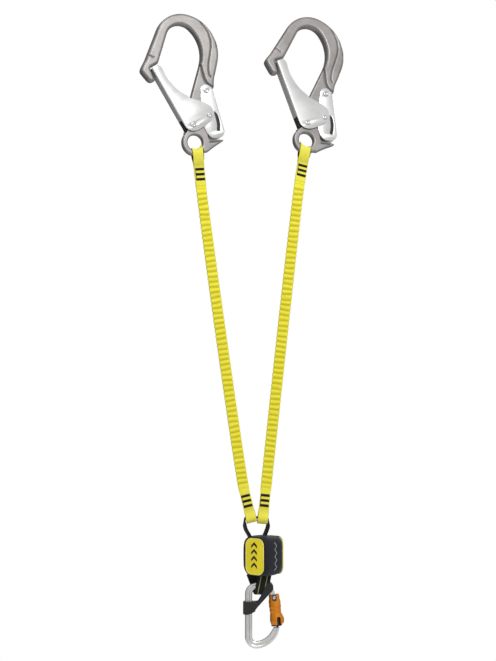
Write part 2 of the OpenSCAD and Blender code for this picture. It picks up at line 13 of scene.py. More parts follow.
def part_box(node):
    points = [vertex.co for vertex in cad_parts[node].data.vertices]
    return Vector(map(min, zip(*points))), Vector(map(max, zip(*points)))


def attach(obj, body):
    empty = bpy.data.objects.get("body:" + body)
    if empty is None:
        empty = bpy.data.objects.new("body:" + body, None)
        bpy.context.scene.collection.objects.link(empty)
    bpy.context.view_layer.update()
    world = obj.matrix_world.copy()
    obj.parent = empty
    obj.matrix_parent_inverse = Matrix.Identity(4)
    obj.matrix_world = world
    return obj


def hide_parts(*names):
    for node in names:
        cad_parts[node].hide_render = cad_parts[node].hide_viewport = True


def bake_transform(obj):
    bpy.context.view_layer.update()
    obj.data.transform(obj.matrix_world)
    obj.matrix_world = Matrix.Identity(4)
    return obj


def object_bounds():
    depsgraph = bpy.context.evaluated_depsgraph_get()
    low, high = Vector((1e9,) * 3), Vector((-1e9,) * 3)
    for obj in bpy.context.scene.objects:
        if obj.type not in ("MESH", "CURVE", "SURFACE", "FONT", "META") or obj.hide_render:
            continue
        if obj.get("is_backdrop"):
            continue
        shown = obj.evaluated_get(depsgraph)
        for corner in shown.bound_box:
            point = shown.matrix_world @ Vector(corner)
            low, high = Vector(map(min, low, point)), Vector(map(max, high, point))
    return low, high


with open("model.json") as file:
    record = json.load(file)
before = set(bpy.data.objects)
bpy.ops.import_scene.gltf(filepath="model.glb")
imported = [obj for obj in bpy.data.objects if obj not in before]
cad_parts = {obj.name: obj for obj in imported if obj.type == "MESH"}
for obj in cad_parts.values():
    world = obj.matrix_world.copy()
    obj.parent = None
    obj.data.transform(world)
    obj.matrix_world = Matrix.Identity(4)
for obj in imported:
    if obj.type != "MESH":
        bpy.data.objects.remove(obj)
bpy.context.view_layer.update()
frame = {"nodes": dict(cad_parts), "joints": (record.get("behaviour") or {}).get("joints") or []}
MM = 0.001
SIDES = ("left", "right")
JOINTS = {j["name"]: j for j in frame["joints"]}


# ---------------------------------------------------------------- camera
VIEW_HEIGHT = 1.137      # height of the picture at the object, metres
CAMERA_DISTANCE = 4.0
SENSOR = 36.0
AIM = (0.1185, -0.015, -0.502)

cam_data = bpy.data.cameras.new("camera")
cam_data.sensor_width = SENSOR
cam_data.lens = SENSOR / 2 * CAMERA_DISTANCE / (VIEW_HEIGHT / 2)
camera = bpy.data.objects.new("camera", cam_data)
camera.location = (AIM[0], AIM[1] - CAMERA_DISTANCE, AIM[2])
camera.rotation_euler = (math.radians(90), 0, 0)
bpy.context.scene.collection.objects.link(camera)
bpy.context.scene.camera = camera


# ---------------------------------------------------------------- frames
def move_mm(x, y, z):
    return Matrix.Translation((x * MM, y * MM, z * MM))


def rotation(degrees, axis):
    return Matrix.Rotation(math.radians(degrees), 4, axis)


def basis(x, y, z, origin):
    """Matrix whose columns are the given axes, for points in metres."""
    m = Matrix((x, y, z)).transposed().to_4x4()
    m.translation = origin
    return m


def hook_frame(side):
    """Local frame of a hook: x to the spine, z to the bow, origin at the eye's centre."""
    gate = Vector(JOINTS["gate_" + side]["pos_m"])
    lever = Vector(JOINTS["lever_" + side]["pos_m"])
    y = Vector(JOINTS["gate_" + side]["axis"]).normalized()
    along = (lever - gate).normalized()
    across = along.cross(y)
    run, rise = LEVER_PIN[0] - GATE_PIN[0], LEVER_PIN[1] - GATE_PIN[1]
    size = math.hypot(run, rise)
    x = (along * run - across * rise) / size
    z = (along * rise + across * run) / size
    return basis(x, y, z, gate - (x * GATE_PIN[0] + z * GATE_PIN[1]) * MM)


GATE_PIN = (-1.0, 30.0)
TAIL_PIN = (30.0, 44.7)
LEVER_PIN = (31.0, 88.5)
HINGE = (17.5, 30.0)
ring_lo, ring_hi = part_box("ring_sling")
ABSORBER = Vector((ring_hi[0] - 10 * MM, (ring_lo[1] + ring_hi[1]) / 2, ring_lo[2] - 44 * MM))
CARABINER = Vector(JOINTS["carabiner_gate"]["pos_m"]) - Vector((HINGE[0], 0, HINGE[1])) * MM
POUCH_YAW = -42
POUCH = ABSORBER + Vector((-1, 0, 18.5)) * MM
GATE_UP = Vector(JOINTS["sleeve_lift"]["axis"])

M_HOOK = {s: hook_frame(s) for s in SIDES}
M_ABSORBER = Matrix.Translation(ABSORBER)
M_CARABINER = Matrix.Translation(CARABINER)
M_POUCH = Matrix.Translation(POUCH) @ rotation(POUCH_YAW, "Z")
M_GATE = basis(Vector((0, 1, 0)).cross(GATE_UP), Vector((0, 1, 0)), GATE_UP,
               Vector(JOINTS["carabiner_gate"]["pos_m"]))


# ---------------------------------------------------------------- materials
def rgb(r, g, b):
    """Linear colour from a display colour of 0 to 255."""
    return tuple(((c / 255 + 0.055) / 1.055) ** 2.4 if c > 10 else c / 3295 for c in (r, g, b)) + (1,)


class Shader:
    """Small helper round one material's node tree."""

    def __init__(self, name):
        self.mat = bpy.data.materials.new(name)
        self.mat.use_nodes = True
        self.tree = self.mat.node_tree
        self.bsdf = self.tree.nodes["Principled BSDF"]
        self.coords = self.tree.nodes.new("ShaderNodeTexCoord")

    def feed(self, socket, value):
        if hasattr(value, "links"):
            self.tree.links.new(value, socket)
        else:
            socket.default_value = value

    def node(self, kind, inputs=(), **props):
        n = self.tree.nodes.new("ShaderNode" + kind)
        for key, value in props.items():
            setattr(n, key, value)
        for key, value in dict(inputs).items():
            self.feed(n.inputs[key], value)
        return n

    def noise(self, scale, detail=4, rough=0.6, stretch=(1, 1, 1), source="Object"):
        mapped = self.node("Mapping", {"Vector": self.coords.outputs[source], "Scale": stretch})
        return self.node("TexNoise", {"Vector": mapped.outputs[0], "Scale": scale, "Detail": detail,
                                      "Roughness": rough}).outputs["Fac"]

    def wave(self, scale, direction="X", distort=0.0, source="UV"):
        return self.node("TexWave", {"Vector": self.coords.outputs[source], "Scale": scale,
                                     "Distortion": distort}, bands_direction=direction).outputs["Fac"]

    def math(self, kind, a, b):
        return self.node("Math", {0: a, 1: b}, operation=kind).outputs[0]

    def ramp(self, factor, stops):
        n = self.node("ValToRGB", {"Fac": factor})
        while len(n.color_ramp.elements) < len(stops):
            n.color_ramp.elements.new(0.5)
        for e, (at, colour) in zip(n.color_ramp.elements, stops):
            e.position, e.color = at, colour
        return n.outputs["Color"]

    def two_tone(self, factor, start, dark, end, light):
        return self.ramp(factor, [(start, rgb(*dark)), (end, rgb(*light))])

    def blend(self, a, b, share):
        """A share of a and the rest of b."""
        return self.math("ADD", self.math("MULTIPLY", a, share), self.math("MULTIPLY", b, 1 - share))

    def around(self, factor, middle, spread):
        """A value that a texture varies about its middle."""
        return self.math("ADD", self.math("MULTIPLY", factor, spread), middle - spread / 2)

    def mix(self, factor, a, b):
        return self.node("Mix", {0: factor, 6: a, 7: b}, data_type="RGBA").outputs[2]

    def set(self, **values):
        for key, value in values.items():
            self.feed(self.bsdf.inputs[key.replace("_", " ")], value)

    def bump(self, *layers):
        """Layers are (height, strength, distance in metres), finest first."""
        normal = None
        for height, strength, distance in layers:
            n = self.node("Bump", {"Height": height, "Strength": strength, "Distance": distance})
            if normal is not None:
                self.tree.links.new(normal, n.inputs["Normal"])
            normal = n.outputs["Normal"]
        self.tree.links.new(normal, self.bsdf.inputs["Normal"])
        return self


def metal(name, dark, light, rough, scratch=0.15, grain=900, metallic=1.0, painted_shade=None):
    """Metal with cloudy tone, fine grain and light handling scratches; its last colour is painted shade
    laid into pressed lines.
    """
    s = Shader(name)
    cloud = s.noise(35, 5)
    fine = s.noise(grain, 3)
    lines = s.noise(60, 6, 0.7, (1, 1, 14))
    colour = s.two_tone(s.blend(cloud, lines, 0.7), 0.3, dark, 0.7, light)
    if painted_shade:
        # Painted shade: the attribute darkens pressed lines towards the last colour
        pressed_line_shade = s.node("Attribute", attribute_name="painted_shade").outputs["Fac"]
        colour = s.mix(pressed_line_shade, colour, rgb(*painted_shade))
    s.set(Base_Color=colour, Metallic=metallic, Roughness=s.around(s.noise(80, 4), rough, 0.16))
    s.bump((fine, scratch, 0.00006), (lines, scratch * 0.6, 0.00008))
    return s.mat


def woven(name, dark, light, across, along, depth=0.35, sheen=0.25, shade=None):
    """Woven webbing: UVs run across (0 to 1) and along (in widths) the strap; shade is a colour of painted
    shade that the attribute mixes in.
    """
    s = Shader(name)
    warp = s.wave(across, "X", 0.4)
    weft = s.wave(along, "Y", 0.4)
    weave = s.math("MULTIPLY", warp, weft)
    fuzz = s.noise(700, 4)
    colour = s.two_tone(s.blend(weave, s.noise(45, 5), 0.45), 0.2, dark, 0.65, light)
    # Painted shade: the attribute mixes the shade colour into creases
    if shade:
        painted_shade = s.node("Attribute", attribute_name="painted_shade").outputs["Fac"]
        colour = s.mix(painted_shade, colour, rgb(*shade))
    s.set(Base_Color=colour, Roughness=0.75, Sheen_Weight=sheen, Sheen_Roughness=0.5,
          Specular_IOR_Level=0.25)
    s.bump((fuzz, 0.25, 0.0001), (weave, depth, 0.00035))
    return s.mat


def cloth(name, dark, light, scale, depth, coat=0.0, rough=0.7, sheen=0.2):
    """Coated woven cloth in object space, for the pouch."""
    s = Shader(name)
    a = s.wave(scale, "Z", 0.3, "Object")
    b = s.wave(scale, "X", 0.3, "Object")
    weave = s.math("MULTIPLY", a, b)
    tone = s.blend(weave, s.noise(60, 5), 0.35)
    s.set(Base_Color=s.two_tone(tone, 0.25, dark, 0.7, light), Roughness=rough, Sheen_Weight=sheen,
          Coat_Weight=coat, Coat_Roughness=0.4, Specular_IOR_Level=0.35)
    s.bump((weave, depth, 0.0003), (s.noise(90, 4), 0.25, 0.001))
    return s.mat


def plastic(name, dark, light, rough, grain=1500, depth=0.15):
    s = Shader(name)
    s.set(Base_Color=s.two_tone(s.noise(50, 4), 0.3, dark, 0.7, light),
          Roughness=s.around(s.noise(120, 3), rough, 0.2))
    s.bump((s.noise(grain, 3), depth, 0.00008))
    return s.mat


def anodised(name, dark, light):
    """Dyed aluminium sleeve: coloured metal with turning marks and worn edges."""
    s = Shader(name)
    turning = s.noise(50, 5, 0.6, (1, 1, 18))
    cloud = s.noise(60, 4)
    s.set(Base_Color=s.two_tone(s.blend(turning, cloud, 0.4), 0.3, dark, 0.7, light), Metallic=0.65,
          Roughness=s.around(cloud, 0.34, 0.2), Coat_Weight=0.2, Coat_Roughness=0.3)
    s.bump((turning, 0.2, 0.0001), (s.noise(1100, 3), 0.12, 0.00005))
    return s.mat


def rubbery(name, dark, light):
    """Strap rubber moulded with a fine diamond texture."""
    s = Shader(name)
    a = s.wave(260, "DIAGONAL", 0.2, "Object")
    b = s.wave(260, "X", 0.2, "Object")
    c = s.wave(260, "Z", 0.2, "Object")
    grid = s.math("MULTIPLY", s.math("MULTIPLY", b, c), s.math("ADD", a, 0.5))
    s.set(Base_Color=s.two_tone(grid, 0.1, dark, 0.8, light), Roughness=0.62, Sheen_Weight=0.15)
    s.bump((s.noise(900, 3), 0.2, 0.0001), (grid, 0.5, 0.0004))
    return s.mat


MAT = {
    # The last colour of forged_alloy is painted shade for the pressed relief lines
    "forging": metal("forged_alloy", (134, 131, 129), (164, 161, 159), 0.42, 0.2, 500, 0.8, (52, 50, 49)),
    "plate": metal("plated_sheet", (197, 197, 197), (220, 220, 219), 0.34, 0.08, 900, 0.55),
    "rivet": metal("rivet_steel", (168, 169, 172), (206, 207, 210), 0.32, 0.12),
    "wire": metal("spring_wire", (85, 86, 92), (120, 121, 128), 0.35),
    "black_wire": metal("black_wire", (22, 22, 23), (40, 40, 42), 0.45),
    "bar": metal("polished_bar", (214, 213, 211), (241, 240, 238), 0.3, 0.015, 400, 0.95),
    "brass": metal("turned_brass", (170, 150, 90), (205, 185, 120), 0.3),
    "black": plastic("black_plastic", (12, 12, 13), (24, 24, 26), 0.5),
    "zip": plastic("zip_coil", (8, 8, 9), (20, 20, 22), 0.45, 900, 0.4),
    # The shade colour of yellow_webbing is painted shade for the band where a loop's two layers meet
    "yellow_web": woven("yellow_webbing", (238, 228, 54), (253, 247, 104), 22, 20, shade=(170, 158, 34)),
    # The shade colour of yellow_elastic_webbing is painted shade for the troughs between pleats
    "yellow_pleat": woven("yellow_elastic_webbing", (246, 234, 40), (255, 250, 92), 26, 60, 0.3,
                          shade=(206, 192, 4)),
    "black_web": woven("black_webbing", (10, 10, 12), (28, 28, 31), 22, 20, sheen=0.1),
    "tear_web": woven("tear_webbing", (170, 165, 150), (205, 200, 186), 22, 20),
    "thread": woven("black_thread", (26, 20, 16), (46, 38, 34), 8, 8, sheen=0.1),
    "stripe": woven("stripe_thread", (140, 142, 84), (186, 188, 124), 6, 60),
    "pouch": cloth("pouch_cloth", (16, 18, 25), (31, 34, 43), 260, 0.45, sheen=0.08),
    "panel": cloth("panel_cloth", (246, 222, 10), (255, 240, 36), 200, 0.4, 0.15, 0.55),
    "piping": plastic("yellow_piping", (238, 230, 96), (248, 242, 130), 0.5, 700, 0.3),
    "mark_dark": plastic("mark_dark", (14, 14, 10), (26, 26, 18), 0.6),
    "mark_grey": plastic("mark_grey", (150, 152, 156), (178, 180, 184), 0.6),
    "orange": anodised("orange_sleeve", (216, 120, 8), (240, 154, 24)),
    "keeper": rubbery("keeper_rubber", (12, 12, 13), (38, 38, 40)),
}


# ---------------------------------------------------------------- mesh helpers
def arc(c, r, a0, a1, n):
    """Points of a circular arc in degrees, in outline coordinates."""
    turn = [math.radians(a0 + (a1 - a0) * i / n) for i in range(n + 1)]
    return [(c[0] + r * math.cos(a), c[1] + r * math.sin(a)) for a in turn]


def circle(c, r, n):
    return arc(c, r, 0, 360 * (n - 1) / n, n - 1)


def edit(mesh, *changes):
    """Opens a mesh, makes the changes and writes it back."""
    bm = bmesh.new()
    bm.from_mesh(mesh)
    for change in changes:
        change(bm)
    bm.to_mesh(mesh)
    bm.free()


def weld(bm, dist=1e-6):
    bmesh.ops.remove_doubles(bm, verts=bm.verts, dist=dist)


def face_outward(bm):
    bmesh.ops.recalc_face_normals(bm, faces=bm.faces)


def shade_smooth(obj):
    obj.data.polygons.foreach_set("use_smooth", [True] * len(obj.data.polygons))


def link(name, mesh, mat=None, smooth=True):
    obj = bpy.data.objects.new(name, mesh)
    bpy.context.scene.collection.objects.link(obj)
    if mat:
        mesh.materials.append(MAT[mat])
    if smooth:
        shade_smooth(obj)
    return obj


def add_painted_shade(mesh, values):
    """Point attribute of painted shade that the metal and webbing materials darken by."""
    att = mesh.attributes.new("painted_shade", "FLOAT", "POINT")
    att.data.foreach_set("value", np.asarray(values, dtype=float).ravel())


def grid_mesh(name, rows, mat, close_v=False, caps=True, uv=None, painted_shade=None):
    """Mesh through rows of points in metres; each row is a ring round the piece."""
    rows = np.asarray(rows, dtype=float)
    nv, nu = rows.shape[:2]
    verts = rows.reshape(-1, 3)
    faces = []
    for j in range(nv if close_v else nv - 1):
        for i in range(nu):
            a, b = j * nu + i, j * nu + (i + 1) % nu
            k = ((j + 1) % nv) * nu
            faces.append((a, b, k + (i + 1) % nu, k + i))
    if caps and not close_v:
        faces.append(tuple(range(nu - 1, -1, -1)))
        faces.append(tuple((nv - 1) * nu + i for i in range(nu)))
    mesh = bpy.data.meshes.new(name)
    mesh.from_pydata(verts.tolist(), [], faces)
    if uv is not None:
        layer = mesh.uv_layers.new(name="UVMap")
        flat = np.asarray(uv, dtype=float).reshape(-1, 2)
        idx = np.empty(len(mesh.loops), dtype=int)
        mesh.loops.foreach_get("vertex_index", idx)
        layer.data.foreach_set("uv", flat[idx].ravel())
    # Painted shade values, kept as a point attribute
    if painted_shade is not None:
        add_painted_shade(mesh, painted_shade)
    obj = link(name, mesh, mat)
    edit(mesh, face_outward)
    return obj


def baked(obj):
    """Applies an object's modifiers and keeps its name and materials."""
    dg = bpy.context.evaluated_depsgraph_get()
    mesh = bpy.data.meshes.new_from_object(obj.evaluated_get(dg))
    mats = [m for m in obj.data.materials]
    obj.modifiers.clear()
    obj.data = mesh
    mesh.materials.clear()
    for m in mats:
        mesh.materials.append(m)
    return obj


def outline_mesh(rings, fill, half=0.0, bevel=0.0, res=0):
    """Mesh of a flat curve through closed outlines in mm, the first outside."""
    curve = bpy.data.curves.new("outline", "CURVE")
    curve.dimensions = "2D"
    curve.fill_mode = fill
    for ring in rings:
        spline = curve.splines.new("POLY")
        spline.points.add(len(ring) - 1)
        for p, (x, z) in zip(spline.points, ring):
            p.co = (x * MM, z * MM, 0, 1)
        spline.use_cyclic_u = True
    curve.extrude = (half - bevel) * MM
    curve.bevel_depth = bevel * MM
    curve.offset = -bevel * MM
    curve.bevel_resolution = res
    tmp = bpy.data.objects.new("outline", curve)
    bpy.context.scene.collection.objects.link(tmp)
    dg = bpy.context.evaluated_depsgraph_get()
    mesh = bpy.data.meshes.new_from_object(tmp.evaluated_get(dg))
    bpy.data.objects.remove(tmp)
    mesh.materials.clear()
    return mesh


def plate(name, rings, half_t, bevel, mat, res=3):
    """Flat plate with rounded rims, standing in the x, z plane."""
    mesh = outline_mesh(rings, "BOTH", half_t, bevel, res)
    mesh.transform(rotation(90, "X"))
    edit(mesh, weld, face_outward)
    obj = link(name, mesh, mat)
    soften(obj)
    return obj


def soften(obj, angle=35):
    """Smooth shading that keeps the edges of flat faces crisp."""
    def mark(bm):
        for e in bm.edges:
            e.smooth = len(e.link_faces) != 2 or e.calc_face_angle(0) < math.radians(angle)

    edit(obj.data, mark)


def remesh(obj, size):
    mod = obj.modifiers.new("remesh", "REMESH")
    mod.mode = "VOXEL"
    mod.voxel_size = size * MM
    baked(obj)


def places(obj):
    """Vertex places in mm."""
    co = np.empty(len(obj.data.vertices) * 3)
    obj.data.vertices.foreach_get("co", co)
    return co.reshape(-1, 3) / MM


def sculpt(obj, co, rounds):
    """Writes places in mm back and smooths them a few rounds."""
    obj.data.vertices.foreach_set("co", (co * MM).ravel())
    smooth = obj.modifiers.new("smooth", "SMOOTH")
    smooth.factor, smooth.iterations = 0.5, rounds
    baked(obj)
    shade_smooth(obj)


def join(name, objs):
    """One object out of several; materials are kept per face."""
    bpy.ops.object.select_all(action="DESELECT")
    for o in objs:
        o.select_set(True)
    bpy.context.view_layer.objects.active = objs[0]
    bpy.ops.object.join()
    objs[0].name = name
    return objs[0]


def put(obj, matrix, body, *nodes, slot=None):
    """Places a piece from its local frame, rides it on a body and hides the CAD nodes it stands for."""
    obj.data.transform(matrix)
    obj.data.update()
    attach(obj, body)
    if nodes:
        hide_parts(*nodes)
    return obj


def distance(points, line, closed=True):
    """Distance from each point to a polyline."""
    a = np.asarray(line, dtype=float)
    b = np.roll(a, -1, axis=0)
    if not closed:
        a, b = a[:-1], b[:-1]
    best = np.full(len(points), 1e9)
    for p, q in zip(a, b):
        d = q - p
        t = np.clip(((points - p) @ d) / max(d @ d, 1e-12), 0, 1)
        best = np.minimum(best, np.hypot(*(points - p - t[:, None] * d).T))
    return best


def inside(points, poly):
    """True for the points inside a closed polyline."""
    a = np.asarray(poly, dtype=float)
    b = np.roll(a, -1, axis=0)
    x, z = points[:, 0], points[:, 1]
    hit = np.zeros(len(points), bool)
    for (x0, z0), (x1, z1) in zip(a, b):
        if z0 == z1:
            continue
        cross = (z0 > z) != (z1 > z)
        hit ^= cross & (x < (x1 - x0) * (z - z0) / (z1 - z0) + x0)
    return hit


def smoothstep(x):
    x = np.clip(x, 0, 1)
    return x * x * (3 - 2 * x)


# ---------------------------------------------------------------- scaffold hooks
BOW_HALF, SPINE_HALF = 9.25, 6.0
SEAT = (-3.0, 182.0)
EYE_R = 13.5
SHEET = 1.6
LEVER_IN = SPINE_HALF + 0.4
GATE_IN = LEVER_IN + SHEET + 0.4
GATE_OUT = GATE_IN + SHEET
TIP_R = 119.8


def hook_outline():
    return ([(-60.5, 110.6), (-64, 109.8), (-67.5, 110.8), (-70.5, 113.6), (-72.5, 116.5), (-76.6, 122.4),
             (-79.7, 127.3), (-80.6, 129.5), (-80.7, 132), (-79.6, 135.2), (-77.6, 138.6), (-70.4, 149)]
            + arc((0, 178.5), 48, 153, 78, 20) + arc((-5.2, 159.2), 68, 75, -18.6, 34)
            + [(53.5, 120.5), (49.5, 110.5), (47.9, 104), (47.4, 99), (46.6, 95), (44.8, 91.9),
               (42.4, 90.9), (40.3, 89), (38.6, 84), (36, 72)]
            + arc(GATE_PIN, 30, 45, -30, 10)
            + [(25.6, 10), (26.2, 6), (27.6, 3.4), (33, 2.6), (46.5, 2), (50.6, 1.2), (51.6, 0.1),
               (51, -0.9), (45, -4), (39.3, -6.8), (29, -12.6), (21, -17.9)]
            + arc((0, 0), 23, -52, -222, 36)
            + [(-14.4, 19.6), (-11.2, 24.6)] + arc(GATE_PIN, 10, 190, 165, 3)
            + [(-6, 50), (-1, 66), (2.1, 77.8)]
            + arc((-29, 158.6), 60, -21, 42, 18) + arc(SEAT, 25, 45, 156, 24)
            + [(-37, 167), (-45.6, 147.8), (-48, 142.8), (-50.6, 140.6), (-54.8, 138.8), (-60, 136.4),
               (-62.6, 135), (-63.4, 133.2), (-60.6, 123), (-58, 114), (-58.6, 111.6)])


THIN = [(-40, -60), (80, -60), (80, 88), (43.5, 88), (42, 94.3), (37, 96.6), (33.1, 101.1), (30.4, 106.6),
        (28.9, 112.5), (27.4, 123), (25.7, 134.1), (0, 136), (-12, 60), (-40, 60)]
# Relief lines pressed into the spine side of the bow: path, depth and half width, mm
RELIEF = [
    ([(36, 210), (42.6, 201), (47.6, 190), (50.3, 176), (49.4, 164), (45.6, 150), (41.4, 136), (39.4, 124),
      (39.6, 116), (42.4, 111.5)], 1.3, 1.0),
    ([(40, 212), (49.6, 199.5), (56.4, 188), (59.4, 176), (60, 165)], 0.7, 0.9),
    ([(-65, 156.5), (-61, 155), (-57.4, 152.4), (-54.8, 152)], 1.1, 0.8),
    ([(25.7, 137), (27.2, 125), (28.7, 113.5), (30.4, 106.8), (33.4, 101.6), (38, 97), (43.5, 95)],
     0.9, 0.9),
    ([(27, -1.4), (45, -0.9)], 1.3, 0.9),
]


def hook_forging(side):
    outline = hook_outline()
    eye = circle((0, 0), EYE_R, 56)
    obj = plate("hook_frame_" + side, [outline, eye], BOW_HALF, 0.4, "forging", 1)
    remesh(obj, 0.85)
    co = places(obj)
    p = co[:, [0, 2]]
    edge = np.minimum(distance(p, outline), distance(p, eye))
    thin = distance(p, THIN) * np.where(inside(p, THIN), 1, -1)
    level = SPINE_HALF + (BOW_HALF - SPINE_HALF) * smoothstep(-thin / 3.2)
    rim = 2.2 + 2.6 * smoothstep(-thin / 6.0)
    rim = np.minimum(rim, level * 0.8)
    d = np.clip(edge / rim, 0, 1)
    half = level - rim + rim * np.sqrt(1 - (1 - d) ** 2)
    # Painted shade that darkens the pressed relief lines
    painted_shade = np.zeros(len(co))
    for line, depth, width in RELIEF:
        cut_in = np.exp(-(distance(p, line, False) / width) ** 2)
        half -= depth * cut_in
        painted_shade = np.maximum(painted_shade, depth * 0.62 * cut_in)
    add_painted_shade(obj.data, np.clip(painted_shade, 0, 1))
    co[:, 1] = np.sign(co[:, 1]) * np.minimum(np.abs(co[:, 1]) / BOW_HALF, 1) * half
    sculpt(obj, co, 3)
    return put(obj, M_HOOK[side], "root", "hook_frame_" + side, slot="forged_alloy")


def folded_channel(name, cheek, holes, fold_a, fold_b, web_from, web_to, outer_half, mat, radius=2.6):
    """Sheet channel: a cheek outline mirrored about a fold line, bent round a web between the cheeks.

    fold_a to fold_b is the line the cheeks are folded on; web_from and web_to are places along it."""
    a, b = Vector(fold_a), Vector(fold_b)
    v_dir = (b - a).normalized()
    n_dir = Vector((-v_dir.y, v_dir.x))
    flat_web = 2 * outer_half - 2 * radius
    bend = radius * math.pi / 2
    base = flat_web / 2 + bend - radius

    def local(p):
        q = Vector(p) - a
        return q.dot(n_dir), q.dot(v_dir)

    def pattern(points, sign):
        out = []
        for p in points:
            n, v = local(p)
            out.append((sign * (max(n, 0) + base), v))
        return out

    right = pattern(cheek, 1)
    left = pattern(cheek, -1)[::-1]
    web = base * 0.96
    outline = right + [(web, web_to), (-web, web_to)] + left + [(-web, web_from), (web, web_from)]
    rings = [outline] + [pattern(h, 1) for h in holes] + [pattern(h, -1) for h in holes]
    mesh = outline_mesh(rings, "FRONT")

    def fold(bm):
        cuts = [flat_web / 2 + bend * i / 8 for i in range(9)]
        for u in cuts + [-c for c in cuts]:
            bmesh.ops.bisect_plane(bm, geom=bm.verts[:] + bm.edges[:] + bm.faces[:],
                                   plane_co=(u * MM, 0, 0), plane_no=(1, 0, 0), dist=1e-7)
        for vert in bm.verts:
            u, v = abs(vert.co.x / MM), vert.co.y / MM
            s = 1 if vert.co.x >= 0 else -1
            if u <= flat_web / 2:
                y, n = u, 0.0
            elif u <= flat_web / 2 + bend:
                t = (u - flat_web / 2) / radius
                y, n = flat_web / 2 + radius * math.sin(t), radius * (1 - math.cos(t))
            else:
                y, n = outer_half, u - base
            q = a + v_dir * v + n_dir * n
            vert.co = (q.x * MM, s * y * MM, q.y * MM)
        weld(bm, 2e-6)
        face_outward(bm)
        # The sheet is open, so its outside is taken from the cheek that stands furthest out
        probe = max(bm.faces, key=lambda f: abs(f.calc_center_median().y))
        if probe.normal.y * probe.calc_center_median().y < 0:
            bmesh.ops.reverse_faces(bm, faces=bm.faces[:])

    edit(mesh, fold)
    obj = link(name, mesh, mat)
    solid = obj.modifiers.new("sheet", "SOLIDIFY")
    solid.thickness, solid.offset, solid.thickness_clamp = SHEET * MM, -1, 1.0
    crisp_rim(obj, 0.35, 50)
    return obj


def hook_gate(side):
    tip_arc = arc(GATE_PIN, TIP_R, 120.7, 114.5, 6)
    cheek = (tip_arc
             + [(-46.6, 135.8), (-44.6, 133.4), (-43, 130), (-41.2, 124), (-39.3, 118.6), (-35.8, 111.6),
                (-31, 105), (-26.4, 98.4), (-20.7, 92.3), (-15.8, 88), (-10.3, 84.6), (-5, 81), (0, 76.8),
                (9, 73.6), (18.6, 70), (26, 66.6), (31, 63.4), (34.6, 60), (37, 56)]
             + arc((30, 47.8), 8.4, 25, -50, 8)
             + [(33.4, 36.4), (26, 31), (18.6, 26.2), (11, 22.4), (5, 20.2), (0, 19.6), (-5, 20),
                (-10, 22.2), (-14.4, 25.6), (-17.6, 31.1)])
    obj = folded_channel("hook_gate_" + side, cheek, [circle(GATE_PIN, 2.9, 24)], tip_arc[0], (-17.6, 31.1),
                         0.4, 103, GATE_OUT, "plate")
    return put(obj, M_HOOK[side], "hook_gate_" + side, "hook_gate_" + side, slot="plated_steel")


def lever_window():
    outer = arc(GATE_PIN, 49, 20, -16, 14)
    inner = arc(GATE_PIN, 43, -15, 12, 10)
    return (outer + [(45.4, 15.8), (42.2, 16.6)] + inner
            + [(40.8, 42), (40, 46.6), (39.8, 51.4), (41.6, 50.6)])


def hook_lever(side):
    cheek = ([(54.9, 18.4), (54, 13.6), (51.6, 9), (48.4, 6), (44, 4.6), (34, 4.6), (30.4, 6), (27, 8.4),
              (23.5, 13.5), (20.7, 19.4), (18.8, 26.2), (18.6, 50), (18.7, 70), (19.6, 80), (20.6, 86)]
             + arc(LEVER_PIN, 10.4, 172, 22, 18) + [(43.2, 87), (44.4, 82.6)])
    obj = folded_channel("hook_lever_" + side, cheek, [circle(LEVER_PIN, 2.9, 24), lever_window()],
                         (54.9, 18.4), (44.4, 82.6), 1.5, 62, LEVER_IN + SHEET, "plate", 2.2)
    return put(obj, M_HOOK[side], "hook_lever_" + side, "hook_lever_" + side, slot="plated_steel")


def spun(name, centre, profile, f=1):
    """Rivet metal turned about y at centre = (x, z) from (r, y) pairs in mm; f = -1 faces the rear."""
    rows = [[((centre[0] + r * math.cos(t)) * MM, f * y * MM, (centre[1] + f * r * math.sin(t)) * MM)
             for t in np.linspace(0, 2 * math.pi, 40, endpoint=False)] for r, y in profile]
    obj = grid_mesh(name, rows, "rivet", caps=False)
    edit(obj.data, weld)
    return obj


def rivet(name, centre, head_r, reach, matrix, body):
    """Peened rivet: a shank and two domed heads with a dimple."""
    dome = ((0, 0.55), (0.22, 0.5), (0.36, 0.95), (0.62, 1.15), (0.86, 0.85), (1, 0.3), (1, 0))
    profile = [(head_r * r, reach + y) for r, y in dome] + [(2.8, reach - 0.05)]
    obj = spun(name, centre, profile + [(r, -y) for r, y in profile[::-1]])
    return put(obj, matrix, body, name, slot="rivet_steel")


def tail_rivets(side):
    """A short rivet in each cheek of the gate's tail."""
    profile = [(r, GATE_OUT + y) for r, y in
               ((0, 0.55), (0.9, 0.5), (1.5, 0.95), (2.6, 1.15), (3.6, 0.85), (4.2, 0.3), (4.2, 0),
                (2.5, -0.05), (2.5, 0.1 - SHEET), (0, 0.1 - SHEET))]
    obj = join("gate_tail_pin_" + side, [spun("head", TAIL_PIN, profile, f) for f in (-1, 1)])
    return put(obj, M_HOOK[side], "hook_gate_" + side, "gate_tail_pin_" + side, slot="rivet_steel")


def stretch(obj, bodies, ends, nodes, slot):
    """Bakes a piece's placement into its mesh and hides the CAD nodes it stands for."""
    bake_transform(obj)
    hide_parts(*nodes)
    return obj


def tube(points, radius, sides):
    """Rows of rings round a path of points, in the path's own units."""
    pts = [Vector(p) for p in points]
    rows = []
    up = Vector((0, 1, 0))
    for i, p in enumerate(pts):
        t = (pts[min(i + 1, len(pts) - 1)] - pts[max(i - 1, 0)]).normalized()
        side = t.cross(up)
        side = side.normalized() if side.length > 1e-6 else Vector((1, 0, 0))
        up = side.cross(t).normalized()
        rows.append([p + radius * (math.cos(a) * side + math.sin(a) * up)
                     for a in (2 * math.pi * k / sides for k in range(sides))])
    return rows


